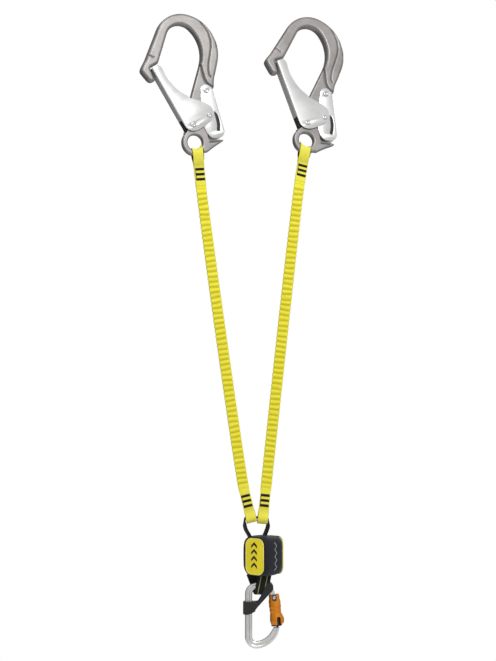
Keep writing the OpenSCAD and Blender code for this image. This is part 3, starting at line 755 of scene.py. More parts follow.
def wire_piece(name, points, radius, mat, sides=10):
    rows = [[tuple(c * MM for c in v) for v in ring] for ring in tube(points, radius, sides)]
    return grid_mesh(name, rows, mat)


def helix(c, r, y0, y1, turns, start):
    """Points of a coil about the y axis at c = (x, z)."""
    steps = 20
    n = int(turns * steps)
    out = []
    for i in range(n + 1):
        a = start + 2 * math.pi * i / steps
        out.append((c[0] + r * math.cos(a), y0 + (y1 - y0) * i / n, c[1] + r * math.sin(a)))
    return out


def gate_spring(side):
    coils = []
    for f in (-1, 1):
        y = f * (SPINE_HALF + 1.15)
        coil = helix(GATE_PIN, 6.3, y - 0.5, y + 0.5, 1.6, math.pi * 0.72)
        path = [(-20, y, 45), (-13, y, 40.4)] + coil + [(-11, y, 22.5), (-15.5, y, 18)]
        coils.append(wire_piece("coil", path, 0.8, "black_wire"))
    # The black plastic shoe that guides the spring legs, seen below the gate's web
    outline = [(-21.6, 36.4), (-17, 37.6), (-13.2, 30.6), (-10.4, 23.6), (-8.8, 19.6), (-11, 17.6),
               (-15.4, 21.4), (-17.6, 29)]
    shoe = plate("shoe", [outline], 4.4, 0.8, "black")
    obj = join("gate_spring_" + side, coils + [shoe])
    return put(obj, M_HOOK[side], "root", "gate_spring_" + side, slot="black_spring")


def lever_spring(side):
    steps = 8 * 18
    pts = []
    for i in range(steps + 1):
        a = 2 * math.pi * i / 18
        pts.append((30.9 + 14.2 * i / steps, 3.2 * math.cos(a), 62 + 3.2 * math.sin(a)))
    obj = wire_piece("lever_spring_" + side, pts, 0.5, "wire", 8)
    obj.data.transform(M_HOOK[side])
    ends = [M_HOOK[side] @ (Vector((x, 0, 62)) * MM) for x in (31, 43.5)]
    return stretch(obj, ("root", "hook_lever_" + side), ends, ["lever_spring_" + side], "spring_steel")


def lever_insert(side):
    # Black plastic plate between the lever's cheeks, so the lever's window shows black: painted shade for
    # the inside of the channel
    outline = [(38.6, 52.4), (47.2, 52.4), (49.2, 39), (52, 19.6), (51.2, 14), (41.4, 13), (40.8, 24),
               (40, 38)]
    obj = plate("lever_insert_" + side, [outline], LEVER_IN - 0.1, 0.7, "black")
    return put(obj, M_HOOK[side], "hook_lever_" + side, "lever_insert_" + side, slot="black_plastic")


def build_hook(side):
    hook_forging(side)
    hook_gate(side)
    hook_lever(side)
    rivet("gate_pivot_" + side, GATE_PIN, 4.8, GATE_OUT + 0.3, M_HOOK[side], "root")
    tail_rivets(side)
    rivet("lever_pivot_" + side, LEVER_PIN, 4.6, LEVER_IN + SHEET + 0.3, M_HOOK[side], "root")
    gate_spring(side)
    lever_spring(side)
    lever_insert(side)


# ---------------------------------------------------------------- webbing
WEB_T = 2.2
UV_LENGTH = 0.0185


def both_faces(sides):
    """Places round a strap's section: (-1 to 1 across, then back on the other face)."""
    front = [(-1 + 2 * k / sides, 1) for k in range(sides + 1)]
    return front + [(1 - 2 * k / sides, -1) for k in range(sides + 1)]


def strap(name, path, width, thick, mat, twist=None, closed=False, painted_shade=None):
    """Flat strap along a path of (point, normal) in metres; width runs across both."""
    n = len(path)
    rows, uvs, shades = [], [], []
    total = 0.0
    for i, (p, normal) in enumerate(path):
        p, normal = Vector(p), Vector(normal).normalized()
        a = Vector(path[(i - 1) % n if closed else max(i - 1, 0)][0])
        b = Vector(path[(i + 1) % n if closed else min(i + 1, n - 1)][0])
        t = (b - a).normalized()
        across = t.cross(normal).normalized()
        if twist:
            rot = Matrix.Rotation(twist[i], 3, t)
            across, normal = rot @ across, rot @ normal
        if i:
            total += (p - Vector(path[i - 1][0])).length
        ring, uv = [], []
        for u, s in both_faces(14):
            edge = min(1, math.sqrt(max(0.0, 1 - max(0, abs(u) - 0.86) ** 2 / 0.14 ** 2 * 0.75)))
            ring.append(p + across * (u * width / 2) + normal * (s * thick / 2 * edge))
            uv.append(((u + 1) / 2, total / UV_LENGTH))
        rows.append(ring)
        uvs.append(uv)
        # Painted shade values carried along the strap
        shades.append([painted_shade[i] if painted_shade is not None else 0.0] * len(ring))
    return grid_mesh(name, rows, mat, close_v=closed, uv=uvs, painted_shade=shades)


def square_to(pts, closed=False):
    """Direction square to a path of 2-D points, at each of them."""
    out = []
    n = len(pts)
    for i in range(n):
        a = pts[i - 1 if closed else max(i - 1, 0)]
        b = pts[(i + 1) % n if closed else min(i + 1, n - 1)]
        t = Vector((b[0] - a[0], b[1] - a[1])).normalized()
        out.append((t.y, -t.x))
    return out


def loop_path(a, b, join_z, length, half):
    """Centre line of a sewn loop in (y, z): down the front, round the fold at the bar, up the back."""
    front = [(-half, length + (join_z - length) * i / 15) for i in range(16)]
    front += [(-(half + (a - half) * smoothstep(i / 14)), join_z * (1 - i / 14)) for i in range(1, 14)]
    fold = [math.radians(180 + 180 * i / 22) for i in range(23)]
    return front + [(a * math.cos(q), b * math.sin(q)) for q in fold] + [(-y, z) for y, z in front[::-1]]


def seat_fold(obj, b, eye):
    """Draws a fold down on to the edge of the hook's eye; eye is (x offset, radius, clearance) in mm."""
    if not eye:
        return
    for v in obj.data.vertices:
        if v.co.z < 0:
            x = min(abs(v.co.x / MM + eye[0]), eye[1] * 0.96)
            apex = -TOP_BAR["left"][2] - math.sqrt(eye[1] ** 2 - x * x) + eye[2]
            v.co.z *= max(0.35, min(1.3, apex / b))


def sewn_loop(name, a, b, join_z, length, width, matrix, body, skew, eye=None):
    """Loop of flat webbing with its two layers drawn together above the fold."""
    pts = loop_path(a, b, join_z, length, WEB_T / 2 + 0.05)
    path, shade = [], []
    for (y, z), (ny, nz) in zip(pts, square_to(pts)):
        x = skew * smoothstep(1 - z / join_z) if y > 0 and z < join_z else 0.0
        path.append(((x * MM, y * MM, z * MM), (0, ny, nz)))
        # Painted shade in a band where the two layers are drawn together
        shade.append(0.35 * math.exp(-((z - join_z * 0.8) / 6.0) ** 2) if z > 0 else 0.0)
    obj = strap(name, path, width * MM, WEB_T * MM, "yellow_web", painted_shade=shade)
    seat_fold(obj, b, eye)
    return put(obj, matrix, body, name, slot="yellow_webbing")


def fold_liner(name, a, b, join_z, width, matrix, body, eye=None):
    """Black wear liner inside the fold of a loop, following the loop's two layers past the fold."""
    inset = WEB_T / 2 + 0.45
    half = WEB_T / 2 + 0.05
    side = [((half + (a - half) * smoothstep(1 - z / join_z)) - inset, z)
            for z in np.linspace(LINER_REACH, 0.8, 7)]
    pts = [(-y, z) for y, z in side]
    pts += [((a - inset) * c, (b - inset) * d) for c, d in arc((0, 0), 1, 180, 360, 20)] + side[::-1]
    path = [((0, y * MM, z * MM), (0, ny, nz)) for (y, z), (ny, nz) in zip(pts, square_to(pts))]
    obj = strap(name, path, width * MM, 0.8 * MM, "black_web")
    seat_fold(obj, b - inset, eye)
    return put(obj, matrix, body, name, slot="black_webbing")


def bar_tacks(name, width, tack_z, matrix, body):
    """Three zigzag bar tacks on both faces, joined by a straight seam at one side."""
    parts = []
    first, pitch = tack_z
    half, stitches = 2.15, 15
    for f in (-1, 1):
        y = f * (WEB_T + 0.12)
        for zc in (first + i * pitch for i in range(3)):
            pts = [(-width / 2 + width * k / (2 * stitches), y + 0.15 * f, zc + (half if k % 2 else -half))
                   for k in range(2 * stitches + 1)]
            parts.append(wire_piece("zig", pts, 0.45, "thread", 6))
            bed = plate("bed", [[(-width / 2, zc - half), (width / 2, zc - half), (width / 2, zc + half),
                                 (-width / 2, zc + half)]], 0.3, 0.2, "thread", 1)
            bed.data.transform(move_mm(0, y - 0.02 * f, 0))
            parts.append(bed)
        seam = [(-width / 2 + 0.6, y + 0.1 * f, first + 2 * pitch * k / 12) for k in range(13)]
        parts.append(wire_piece("seam", seam, 0.45, "thread", 6))
    return put(join(name, parts), matrix, body, name, slot="black_thread")


TOP_LEN, BOTTOM_LEN = 58.0, 47.0
TOP_JOIN, BOTTOM_JOIN = 25, 18.5      # height at which a loop's two layers meet
LINER_REACH = 12
TACK_Z = {"top": (28.4, 8.7), "bottom": (20.8, 8.8)}      # lowest bar tack and pitch
TOP_BAR = {"left": (3, 0, -18.2), "right": (-1, 0, -18.2)}
TOP_LEAN = {"left": 1.5, "right": 6.5}
TOP_A, TOP_B = SPINE_HALF + 0.45 + 0.8 + WEB_T, 13.2
RING_HALF, RING_W, RING_BAR_Z = 7.0, 6.0, 83.75
RING_TWIST = 24
BOTTOM_A = RING_HALF + 0.4 + 0.8 + WEB_T
BOTTOM_B = {"left": 8.8, "right": 11.0}
BOTTOM_X = {"left": -22.4, "right": -1.6}
BOTTOM_LEAN = {"left": -14.0, "right": 5.6}
WEB_W, BOTTOM_W = 18.5, 17.5


def loop_frames(side):
    """Local frames of an arm's two loops: origin at the bar, z along the strap."""
    top = M_HOOK[side] @ move_mm(*TOP_BAR[side]) @ rotation(TOP_LEAN[side], "Y") @ rotation(180, "X")
    bottom = M_ABSORBER @ move_mm(BOTTOM_X[side], 0, RING_BAR_Z) @ rotation(BOTTOM_LEAN[side], "Y")
    return top, bottom


PLEATS = 59
PLEAT_T = 6.0
ARM_STEPS = PLEATS * 14


def arm(side):
    """Pleated elastic webbing from the top loop to the bottom loop, easing its turn on the way."""
    top, bottom = loop_frames(side)
    p0 = top @ Vector((0, 0, TOP_LEN * MM))
    p2 = bottom @ Vector((0, 0, BOTTOM_LEN * MM))
    d0 = (top.to_3x3() @ Vector((0, 0, 1))).normalized()
    d2 = -(bottom.to_3x3() @ Vector((0, 0, 1))).normalized()
    n0 = (top.to_3x3() @ Vector((0, 1, 0))).normalized()
    n2 = (bottom.to_3x3() @ Vector((0, -1, 0))).normalized()
    span = (p2 - p0).length
    c0, c2 = p0 + d0 * span * 0.11, p2 - d2 * span * 0.06

    def point(u):
        v = 1 - u
        return p0 * v ** 3 + c0 * 3 * u * v * v + c2 * 3 * u * u * v + p2 * u ** 3

    fine = [point(i / 600) for i in range(601)]
    run = np.concatenate([[0], np.cumsum([(b - a).length for a, b in zip(fine, fine[1:])])])
    even = np.interp(np.linspace(0, run[-1], ARM_STEPS + 1), run, np.linspace(0, 1, 601))
    rnd = random.Random(11 if side == "left" else 23)
    wobble = [(rnd.uniform(-0.05, 0.05), rnd.uniform(-0.07, 0.07), rnd.uniform(0.86, 1.1))
              for _ in range(PLEATS + 2)]
    rows, uvs, shades = [], [], []
    for i, u in enumerate(even):
        along = i / ARM_STEPS
        p = point(u)
        t = (point(min(1, u + 0.002)) - point(max(0, u - 0.002))).normalized()
        normal = n0.lerp(n2, float(smoothstep(along * 1.6)))
        normal = (normal - t * normal.dot(t)).normalized()
        across = t.cross(normal)
        fade = min(1, along * 40, (1 - along) * 40)
        here = along * PLEATS
        shift, tilt, size = wobble[int(here)]
        ring, uv, shade = [], [], []
        for w, s in both_faces(20):
            offset = shift + tilt * w + 0.03 * math.sin(2.5 * w + here)
            phase = here + offset * fade + (0.18 if s < 0 else 0.0)
            ridge = (0.5 + 0.5 * math.cos(2 * math.pi * phase)) ** 0.8
            low, high = PLEAT_T / 2 * 0.52, PLEAT_T / 2 * 1.02 * size
            h = (low + (high - low) * ridge) * fade + WEB_T * (1 - fade)
            h *= 0.25 + 0.75 * math.sqrt(max(0.0, 1 - max(0, abs(w) - 0.80) ** 2 / 0.20 ** 2))
            half_w = (WEB_W / 2 + 0.5 * fade) * (1 - 0.12 * (1 - ridge) * fade)
            ring.append(p + across * (w * half_w * MM) + normal * (s * h * MM))
            uv.append(((w + 1) / 2, along * run[-1] / UV_LENGTH))
            # Painted shade in the troughs between pleats
            shade.append(0.95 * (1 - ridge) ** 1.3 * fade)
        rows.append(ring)
        uvs.append(uv)
        shades.append(shade)
    obj = grid_mesh("arm_webbing_" + side, rows, "yellow_pleat", uv=uvs, painted_shade=shades)
    nodes = ["arm_webbing_" + side, "elastic_core_" + side]
    return stretch(obj, ("root", "absorber"), (p0, p2), nodes, "yellow_webbing")


def build_arm(side):
    top, bottom = loop_frames(side)
    a, b, x = TOP_A - WEB_T / 2, TOP_B - WEB_T / 2, TOP_BAR[side][0]
    sewn_loop("top_loop_" + side, a, b, TOP_JOIN, TOP_LEN, WEB_W, top, "root", -1.6, (x, EYE_R, 2.4))
    fold_liner("top_liner_" + side, a, b, TOP_JOIN, WEB_W + 0.6, top, "root", (x, EYE_R, 0.6))
    bar_tacks("top_tacks_" + side, WEB_W - 2.4, TACK_Z["top"], top, "root")
    arm(side)
    a, b = BOTTOM_A - WEB_T / 2, BOTTOM_B[side] - WEB_T / 2
    sewn_loop("bottom_loop_" + side, a, b, BOTTOM_JOIN, BOTTOM_LEN, BOTTOM_W, bottom, "absorber", -0.8)
    fold_liner("bottom_liner_" + side, a, b, BOTTOM_JOIN, BOTTOM_W + 0.5, bottom, "absorber")
    bar_tacks("bottom_tacks_" + side, BOTTOM_W - 2.2, TACK_Z["bottom"], bottom, "absorber")


# ---------------------------------------------------------------- absorber
def ring_sling():
    """Black webbing ring: an endless strap on edge, its foot inside the pouch."""
    mid = [(-21.5, 46), (-26.2, 54.4), (-30.4, 61.5), (-32.6, 67.6), (-33.2, 75), (-33, 80.6), (-31, 83.6),
           (-26, 83.9), (-13, 83.9), (0, 83.9), (4.6, 83.6), (6.6, 80.8), (7, 75), (6.6, 67.6), (4.2, 60.5),
           (1.6, 54.4), (-2.5, 46), (-12, 45.6)]
    pts = smooth_closed(mid, 6)
    path = [((x * MM, 0, z * MM), (nx, 0, nz)) for (x, z), (nx, nz) in zip(pts, square_to(pts, True))]
    turn = [math.radians(RING_TWIST) * float(smoothstep((80 - z) / 12)) * (1 if x < -12 else -1)
            for x, z in pts]
    obj = strap("ring_sling", path, 2 * RING_W * MM, 3.3 * MM, "black_web", twist=turn, closed=True)
    return put(obj, M_ABSORBER, "absorber", "ring_sling", slot="black_webbing")


def smooth_closed(points, per):
    """Catmull-Rom curve through a closed list of points."""
    out, n = [], len(points)
    for i in range(n):
        p = [Vector(points[(i + k) % n]) for k in (-1, 0, 1, 2)]
        for j in range(per):
            t = j / per
            square = (2 * p[0] - 5 * p[1] + 4 * p[2] - p[3]) * t * t
            cube = (3 * p[1] - p[0] - 3 * p[2] + p[3]) * t ** 3
            out.append(tuple(0.5 * (2 * p[1] + (p[2] - p[0]) * t + square + cube)))
    return out


def pillow(name, size, power, mat, bulge):
    """Stuffed box: a subdivided cube pushed to a rounded box whose sides crown outwards."""
    bm = bmesh.new()
    bmesh.ops.create_cube(bm, size=2)
    bmesh.ops.subdivide_edges(bm, edges=bm.edges[:], cuts=26, use_grid_fill=True)
    for v in bm.verts:
        c = np.array(v.co)
        c = c / (np.abs(c) ** power).sum() ** (1 / power)
        fall = 1 - np.minimum(1, np.abs(c)) ** 2
        v.co = [c[k] * size[k] / 2 * (1 + bulge[k] * fall[k - 2] * fall[k - 1]) * MM for k in range(3)]
    mesh = bpy.data.meshes.new(name)
    bm.to_mesh(mesh)
    bm.free()
    return link(name, mesh, mat)


def round_rect(w, h, r, n=8):
    out = []
    for sx, sz, a in ((1, 1, 0), (-1, 1, 90), (-1, -1, 180), (1, -1, 270)):
        out += arc((sx * (w / 2 - r), sz * (h / 2 - r)), r, a, a + 90, n)
    return out


def crowned(name, outline, y_front, crown, thick, mat, edge, size=1.0):
    """Pillowy panel from an outline in (x, z): domed in front, with a rolled rim. Faces -y."""
    obj = plate(name, [outline], thick / 2, 0.3, mat, 1)
    remesh(obj, size)
    co = places(obj)
    d = distance(co[:, [0, 2]], outline)
    roll = np.sqrt(1 - (1 - np.clip(d / edge, 0, 1)) ** 2)
    dome = crown * smoothstep(d / 16.0)
    raised = np.where(co[:, 1] < 0, -(thick * (0.35 + 0.65 * roll) + dome), 0.0)
    co[:, 1] = raised * np.minimum(np.abs(co[:, 1]) / (thick / 2), 1) + y_front
    sculpt(obj, co, 4)
    return obj


PANEL_W, PANEL_H = 41.0, 62.0
PANEL_X = {"front": 4.4, "rear": -3.4}
ZIP_SHOWS = {"front": 3.0, "rear": -1.0}
POUCH_SHIFT = move_mm(-1, 0, 0)
POUCH_W, POUCH_D, POUCH_H = 50.0, 48.0, 70.0


def chevrons(name, m, y):
    """Generic direction marks up a panel."""
    for k in range(4):
        z = 19 - 11.5 * k
        arrow = [(-6.5, z), (0, z + 6), (6.5, z), (6.5, z - 4.6), (0, z + 1.4), (-6.5, z - 4.6)]
        mark = plate("mark_%s_%d" % (name, k), [arrow], 0.25, 0.1, "mark_dark", 1)
        put(mark, m @ move_mm(0, y, 0), "absorber")


def pouch():
    """Dark band of the pouch, then a panel, piping, zip and generic mark on each face."""
    place = POUCH_SHIFT @ M_POUCH
    size = (POUCH_W + 8.0, POUCH_D + 3.4, POUCH_H - 2.0)
    shell = pillow("pouch_shell", size, 4.4, "pouch", (0.03, 0.02, 0.015))
    put(shell, place, "absorber", "pouch_shell", slot="pouch_fabric")
    for name, facing in (("front", 0), ("rear", 180)):
        m = place @ rotation(facing, "Z") @ move_mm(PANEL_X[name], 0, 0)
        face = -POUCH_D / 2 - 1.0
        zip_w = PANEL_W + ZIP_SHOWS[name]
        gap = crowned(name + "_zip", round_rect(zip_w, PANEL_H + 3.0, 14), face + 1.0, 0.6, 1.2, "zip", 1.2)
        put(gap, m, "absorber", name + "_zip", slot="zip_black")
        outline = round_rect(PANEL_W, PANEL_H, 12.5)
        panel = crowned(name + "_panel", outline, face + 0.2, 1.1, 1.6, "panel", 3.0, 0.8)
        rim = [(x, face - 0.8, z) for x, z in round_rect(PANEL_W - 1.2, PANEL_H - 1.2, 12, 10)]
        whole = join(name + "_panel", [panel, wire_piece("piping", rim + rim[:1], 1.0, "piping")])
        put(whole, m, "absorber", name + "_panel", slot="yellow_panel")
        teeth = zip_teeth("teeth_" + name, zip_w - 1.0, PANEL_H + 1.6, face - 0.35)
        put(teeth, m, "absorber", slot="zip_black")
        chevrons(name, m, face - 2.5)
    side = place @ rotation(90, "Z")
    zig = [(2.6 if k % 2 else -2.6, 24 - 6 * k) for k in range(9)]
    points = [(x, -POUCH_W / 2 - 4.7 + 0.0016 * z * z, z) for x, z in zig]
    put(wire_piece("mark_side", points, 0.8, "mark_grey", 6), side, "absorber")


def zip_teeth(name, w, h, y):
    """Coil of zip teeth round a panel."""
    line = round_rect(w, h, 10.5, 12)
    pts = [Vector(p) for p in line] + [Vector(line[0])]
    total = sum((b - a).length for a, b in zip(pts, pts[1:]))
    n = int(total / 1.3)
    verts, faces = [], []
    k, run = 0, 0.0
    for i in range(n):
        want = total * i / n
        while run + (pts[k + 1] - pts[k]).length < want:
            run += (pts[k + 1] - pts[k]).length
            k += 1
        d = (pts[k + 1] - pts[k]).normalized()
        c = pts[k] + d * (want - run)
        s = Vector((-d.y, d.x))
        base = len(verts)
        for a, b, e in ((-1, -1, 0), (1, -1, 0), (1, 1, 0), (-1, 1, 0),
                        (-0.7, -0.6, 1), (0.7, -0.6, 1), (0.7, 0.6, 1), (-0.7, 0.6, 1)):
            q = c + d * (a * 0.42) + s * (b * 1.25)
            verts.append((q.x * MM, (y - 0.55 * e) * MM, q.y * MM))
        faces += [tuple(base + j for j in f) for f in
                  ((0, 3, 2, 1), (4, 5, 6, 7), (0, 1, 5, 4), (1, 2, 6, 5), (2, 3, 7, 6), (3, 0, 4, 7))]
    mesh = bpy.data.meshes.new(name)
    mesh.from_pydata(verts, [], faces)
    return link(name, mesh, "zip", False)


FOLD_Z = -40.3
LOWER_X = -7.5
LOWER_TOP = 29      # where the strands enter the pouch, above the fold
BEND_Z = (-15, -32)      # two heights on the strap, handed to stretch as its ends
LOWER_IN = 5.25 + 1.15


def lower_webbing():
    """Loop of black webbing below the pouch, its rear strand shifted sideways, with two thin stripes."""
    half = LOWER_IN + WEB_T / 2
    rise = [(half, z) for z in np.linspace(2, 9, 4)]
    rise += [(half * 0.85, z) for z in np.linspace(12, LOWER_TOP, 8)]
    pts = [(-y, z) for y, z in rise[::-1]] + arc((0, 0), half, 180, 360, 20) + rise

    def run(name, width, thick, mat, offset, lift):
        path = []
        for (y, z), (ny, nz) in zip(pts, square_to(pts)):
            normal = Vector((0, ny, nz))
            up = (z + half) / (LOWER_TOP + half)
            x = offset + (2.0 + 7.5 * up if y < 0 else 2.0 - 14.0 * up)
            path.append((Vector((x * MM, y * MM, z * MM)) - normal * lift * MM, normal))
        obj = strap(name, path, width * MM, thick * MM, mat)
        obj.data.transform(M_ABSORBER @ move_mm(LOWER_X, 0, FOLD_Z))
        return obj

    pieces = [run("lower_webbing", 23, WEB_T, "black_web", 0, 0),
              run("stripe_a", 1.2, 0.5, "stripe", 5.0, -WEB_T / 2 - 0.02),
              run("stripe_b", 1.2, 0.5, "stripe", -5.6, -WEB_T / 2 - 0.02)]
    obj = join("lower_webbing", pieces)
    ends = [ABSORBER + Vector((LOWER_X, 0, z)) * MM for z in BEND_Z]
    stretch(obj, ("absorber", "carabiner"), ends, ["lower_webbing"], "black_webbing")


# ---------------------------------------------------------------- carabiner
def bar_path():
    """Centre line of the carabiner bar from its nose to the hinge tang."""
    pts = arc((-16.5, -12.8), 39, -12.9, -82.1, 40) + arc((-13, -38), 13.5, -86, -180, 24)
    pts += [(-26.5, z) for z in np.linspace(-34, 34, 30)]
    return pts + arc((-13, 36), 13.5, 176, 125.2, 14) + arc((-7.5, 28.2), 23, 122, 41, 26)


def bar_section(w, t):
    """Rounded bar section with a groove along its front and rear faces; (n, y) in mm."""
    out = []
    steps = 72
    for k in range(steps):
        a = 2 * math.pi * k / steps
        c, s = math.cos(a), math.sin(a)
        r = (abs(c) ** 3.2 + abs(s) ** 3.2) ** (-1 / 3.2)
        n, y = c * r * w / 2, s * r * t / 2
        y -= math.copysign(1.7, s) * math.exp(-(n / 1.9) ** 4) * smoothstep(abs(s) * 1.4)
        out.append((n, y))
    return out


def carabiner_frame():
    pts = [Vector(p) for p in bar_path()]
    rows = []
    length = [0.0]
    for a, b in zip(pts, pts[1:]):
        length.append(length[-1] + (b - a).length)
    for p, nrm, from_nose in zip(pts, square_to(pts), length):
        nrm = Vector(nrm)
        t = Vector((-nrm.y, nrm.x))
        k = min(1.0, math.sqrt(min(1, (from_nose + 0.25) / 1.3)))
        k *= 0.80 + 0.20 * smoothstep(from_nose / 14)
        k *= 0.86 + 0.14 * smoothstep((length[-1] - from_nose) / 10)
        ring = []
        for a, b in bar_section(12.5, 10.5):
            # The nose is cut square to the gate, so its outer side reaches a little higher
            ahead = -math.tan(math.radians(14.4)) * (6.25 - a) * max(0.0, 1 - from_nose / 5)
            q = p + nrm * (a * k) + t * ahead
            ring.append((q.x * MM, b * k * MM, q.y * MM))
        rows.append(ring)
    bar = grid_mesh("bar", rows, "bar")
    bend = (-7.5, 28.2)
    eye = arc(bend, 28.2, 46, 13, 10) + arc(HINGE, 5, 0, -180, 12) + arc(bend, 18, 13, 46, 8)
    obj = join("carabiner_frame", [bar, plate("tang", [eye], 3.3, 0.7, "bar")])
    return put(obj, M_CARABINER, "carabiner", "carabiner_frame", slot="bar_alloy")


def turned(name, profile, mat, sides, shape=None):
    """Solid of revolution about z from (r, z) pairs in mm; shape(r, z, angle) may reshape it."""
    rows = []
    for r, z in profile:
        ring = []
        for k in range(sides):
            a = 2 * math.pi * k / sides
            rr = shape(r, z, a) if shape else r
            ring.append((rr * math.cos(a) * MM, rr * math.sin(a) * MM, z * MM))
        rows.append(ring)
    return grid_mesh(name, rows, mat, close_v=True)


def cut(obj, cutters):
    for c in cutters:
        mod = obj.modifiers.new("cut", "BOOLEAN")
        mod.operation, mod.object, mod.solver = "DIFFERENCE", c, "EXACT"
    baked(obj)
    for c in cutters:
        bpy.data.objects.remove(c)


def crisp_rim(obj, width, angle):
    """Bevels the sharp edges and keeps the flat faces flat."""
    rim = obj.modifiers.new("rim", "BEVEL")
    rim.width, rim.segments, rim.limit_method = width * MM, 2, "ANGLE"
    rim.angle_limit = math.radians(angle)
    baked(obj)
    shade_smooth(obj)
    soften(obj, 40)


def block(centre, size, r, axis="Y"):
    """Cutter: a rounded bar along y or x; size is (width, depth, height)."""
    obj = plate("cutter", [round_rect(size[0], size[2], r)], size[1] / 2, 0.01, "black", 0)
    if axis == "X":
        obj.data.transform(rotation(90, "Z"))
    obj.data.transform(move_mm(*centre))
    return obj


def sleeve_shape(r, z, a):
    """Outer radius of the sleeve: flats, thumb lobe, waist and shallow ribs."""
    if r < 8.6:
        return r
    flat = 0.22 * math.cos(8 * a) * smoothstep((-z - 2) / 8) * smoothstep((z + 44) / 6)
    lobe = 3.1 * max(0.0, math.cos(a)) ** 3 * smoothstep((-z - 24) / 14)
    lobe *= 1 - smoothstep((-z - 44.4) / 3.0)
    waist = -0.7 * math.exp(-((z + 25) / 6.5) ** 2) + 0.5 * math.exp(-((z + 38) / 4.5) ** 2)
    ribs = 0.22 * math.cos(2 * math.pi * z / 7.5) * smoothstep((-z - 6) / 6) * smoothstep((z + 34) / 6)
    return r + flat + lobe + waist + ribs


def locking_sleeve():
    """Orange sleeve: shallow flats round it, four top notches, a thumb lobe and windows at the foot."""
    profile = [(8.3, 5.0), (8.8, 5.4), (9.5, 5.2), (10, 4.5)]
    profile += [(10, z) for z in np.linspace(3, -42, 46)]
    profile += [(9.9, -43.4), (9.5, -45), (8.9, -46.6), (8.5, -47.4), (8.3, -47.2), (8.3, -30), (8.3, -10)]
    obj = turned("locking_sleeve", profile, "orange", 112, sleeve_shape)
    cutters = [block((0, 0, 8.5), (8.4, 40, 28.5), 4.15, axis) for axis in "YX"]
    cut(obj, cutters + [block((4.4, 0, -42.6), (6.4, 40, 19), 2.2)])
    crisp_rim(obj, 0.3, 55)
    put(obj, M_GATE, "locking_sleeve", "locking_sleeve", slot="orange_sleeve")


def lock_bush():
    profile = [(6.2, -12.2), (8.1, -12.0), (8.2, -12.4), (8.2, -46.8), (8.7, -46.9), (9.3, -47.2),
               (9.4, -47.8), (9.1, -48.6), (8.4, -48.9), (6.2, -48.9)]
    obj = turned("lock_bush", profile, "black", 72)
    put(obj, M_GATE, "lock_bush", "lock_bush", slot="black_plastic")


def keeper_strap():
    """Textured strap: a wrap round the spine and a band up over the webbing and the top bar."""
    wrap = [(-35.7, 4), (-35.2, 2.4), (-33, 1.2), (-28, 1.2), (-21, 3.4), (-16.6, 6.6), (-12, 13),
            (0, 26.5), (10, 37.5), (14.2, 41.6), (15.6, 45), (15.4, 49.5), (13, 53.6), (9.4, 56),
            (6, 56.6), (4.4, 54.4), (1, 46.4), (-2.4, 39), (-6.4, 30.4), (-10, 24.4), (-12.4, 23.4),
            (-34.2, 23.4), (-35.5, 22)]
    rim = [(14.9, 42.6), (16.1, 45.4), (15.9, 50), (13.2, 54.4), (9.6, 56.9), (9.0, 55.6), (12.2, 53.2),
           (14.5, 49.4), (14.7, 45.4)]
    band_in, band_out = 9.0, 10.5
    parts = []
    for f in (-1, 1):
        face = plate("band", [wrap], 0.85, 0.5, "keeper", 2)
        face.data.transform(move_mm(0, f * (band_in + 0.78), 0))
        parts.append(face)
    rings = [round_rect(21.4, 20.6, 5.0), round_rect(13.0, 11.0, 2.2)]
    spine = plate("wrap", rings, 10.8, 1.2, "keeper")
    spine.data.transform(move_mm(-25.4, 0, 12.4) @ rotation(-90, "X"))
    for v in spine.data.vertices:
        if v.co.z < 8 * MM:
            v.co.z += 0.4 * max(0.0, v.co.x + 27 * MM)
    bridge = plate("bridge", [rim], band_out - 0.1, 0.3, "keeper", 1)
    obj = join("keeper_strap", parts + [spine, bridge])
    return put(obj, M_CARABINER, "carabiner", "keeper_strap", slot="keeper_rubber")


# ---------------------------------------------------------------- build
for side_name in SIDES:
    build_hook(side_name)
    build_arm(side_name)
ring_sling()
pouch()
lower_webbing()
carabiner_frame()
locking_sleeve()
lock_bush()
keeper_strap()
rivet("carabiner_rivet", HINGE, 3.4, 6.5, M_CARABINER, "carabiner")

# CAD nodes whose shape stays get their finish here
KEPT = {"carabiner_gate": "wire", "gate_plunger": "brass", "gate_plunger_spring": "wire",
        "sleeve_spring": "wire", "zip_slider": "zip", "zip_pull": "zip", "tear_webbing_pack": "tear_web"}
for node_name, finish in KEPT.items():
    for s in frame["nodes"][node_name].material_slots:
        s.material = MAT[finish]


# ---------------------------------------------------------------- floor, light, background
FLOOR_RADIUS = 1.6
FLOOR_DROP = 0.48      # leaves room under the part


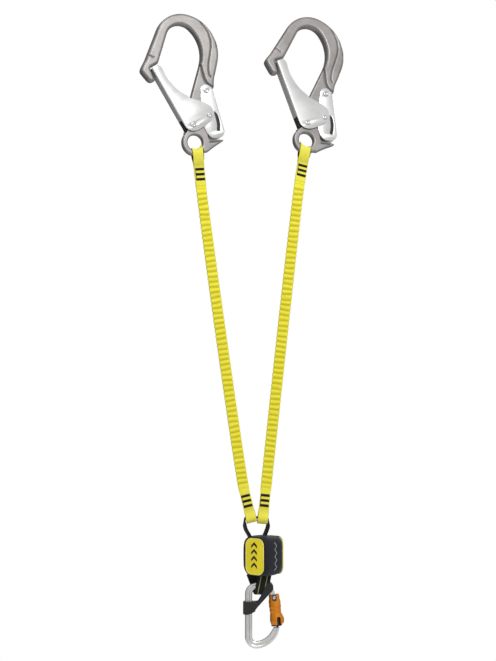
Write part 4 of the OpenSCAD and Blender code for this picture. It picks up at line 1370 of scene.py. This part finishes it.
def floor():
    """White round floor below the part."""
    lo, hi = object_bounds()
    bm = bmesh.new()
    bmesh.ops.create_circle(bm, cap_ends=True, segments=96, radius=FLOOR_RADIUS)
    mesh = bpy.data.meshes.new("floor")
    bm.to_mesh(mesh)
    bm.free()
    obj = link("floor", mesh, smooth=False)
    s = Shader("floor")
    tone = s.two_tone(s.noise(3, 3), 0.3, (232, 232, 231), 0.7, (240, 240, 239))
    s.set(Base_Color=tone, Roughness=0.8)
    mesh.materials.append(s.mat)
    obj.location = ((lo[0] + hi[0]) / 2, (lo[1] + hi[1]) / 2, lo[2] - FLOOR_DROP)
    obj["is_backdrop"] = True


def area_light(name, at, size, power):
    data = bpy.data.lights.new(name, "AREA")
    data.shape, data.size, data.energy = "DISK", size, power
    obj = bpy.data.objects.new(name, data)
    obj.location = at
    obj.rotation_euler = (Vector(AIM) - Vector(at)).to_track_quat("-Z", "Y").to_euler()
    bpy.context.scene.collection.objects.link(obj)


FILL_FROM = (0.52, -0.66, 0.54)


def studio():
    """White studio: bright backdrop, directed fill, soft key from the upper right in front."""
    scene = bpy.context.scene
    scene.view_settings.view_transform = "Standard"
    world = bpy.data.worlds.new("studio")
    scene.world = world
    world.use_nodes = True
    tree = world.node_tree
    tree.nodes.clear()
    coords, toward, level, path, fill, back, mix, out = [tree.nodes.new("ShaderNode" + kind) for kind in (
        "TexCoord", "VectorMath", "MapRange", "LightPath", "Background", "Background", "MixShader",
        "OutputWorld")]
    for shade in (fill, back):
        shade.inputs["Color"].default_value = (1, 1, 1, 1)
    back.inputs["Strength"].default_value = 1.0
    # The fill comes from the front, the right and above, so faces turned left stay darker
    toward.operation = "DOT_PRODUCT"
    toward.inputs[1].default_value = FILL_FROM
    for key, value in (("From Min", -0.9), ("From Max", 0.9), ("To Min", 0.14), ("To Max", 0.74)):
        level.inputs[key].default_value = value
    for a, b in ((coords.outputs["Generated"], toward.inputs[0]),
                 (toward.outputs["Value"], level.inputs["Value"]),
                 (level.outputs["Result"], fill.inputs["Strength"]),
                 (path.outputs["Is Camera Ray"], mix.inputs[0]), (fill.outputs[0], mix.inputs[1]),
                 (back.outputs[0], mix.inputs[2]), (mix.outputs[0], out.inputs["Surface"])):
        tree.links.new(a, b)
    area_light("key", (1.1, -2.6, 1.4), 1.1, 33)
    area_light("top", (-0.5, -0.9, 1.7), 0.9, 9)
    area_light("rear", (0.9, 2.2, 0.5), 1.2, 14)


floor()
studio()
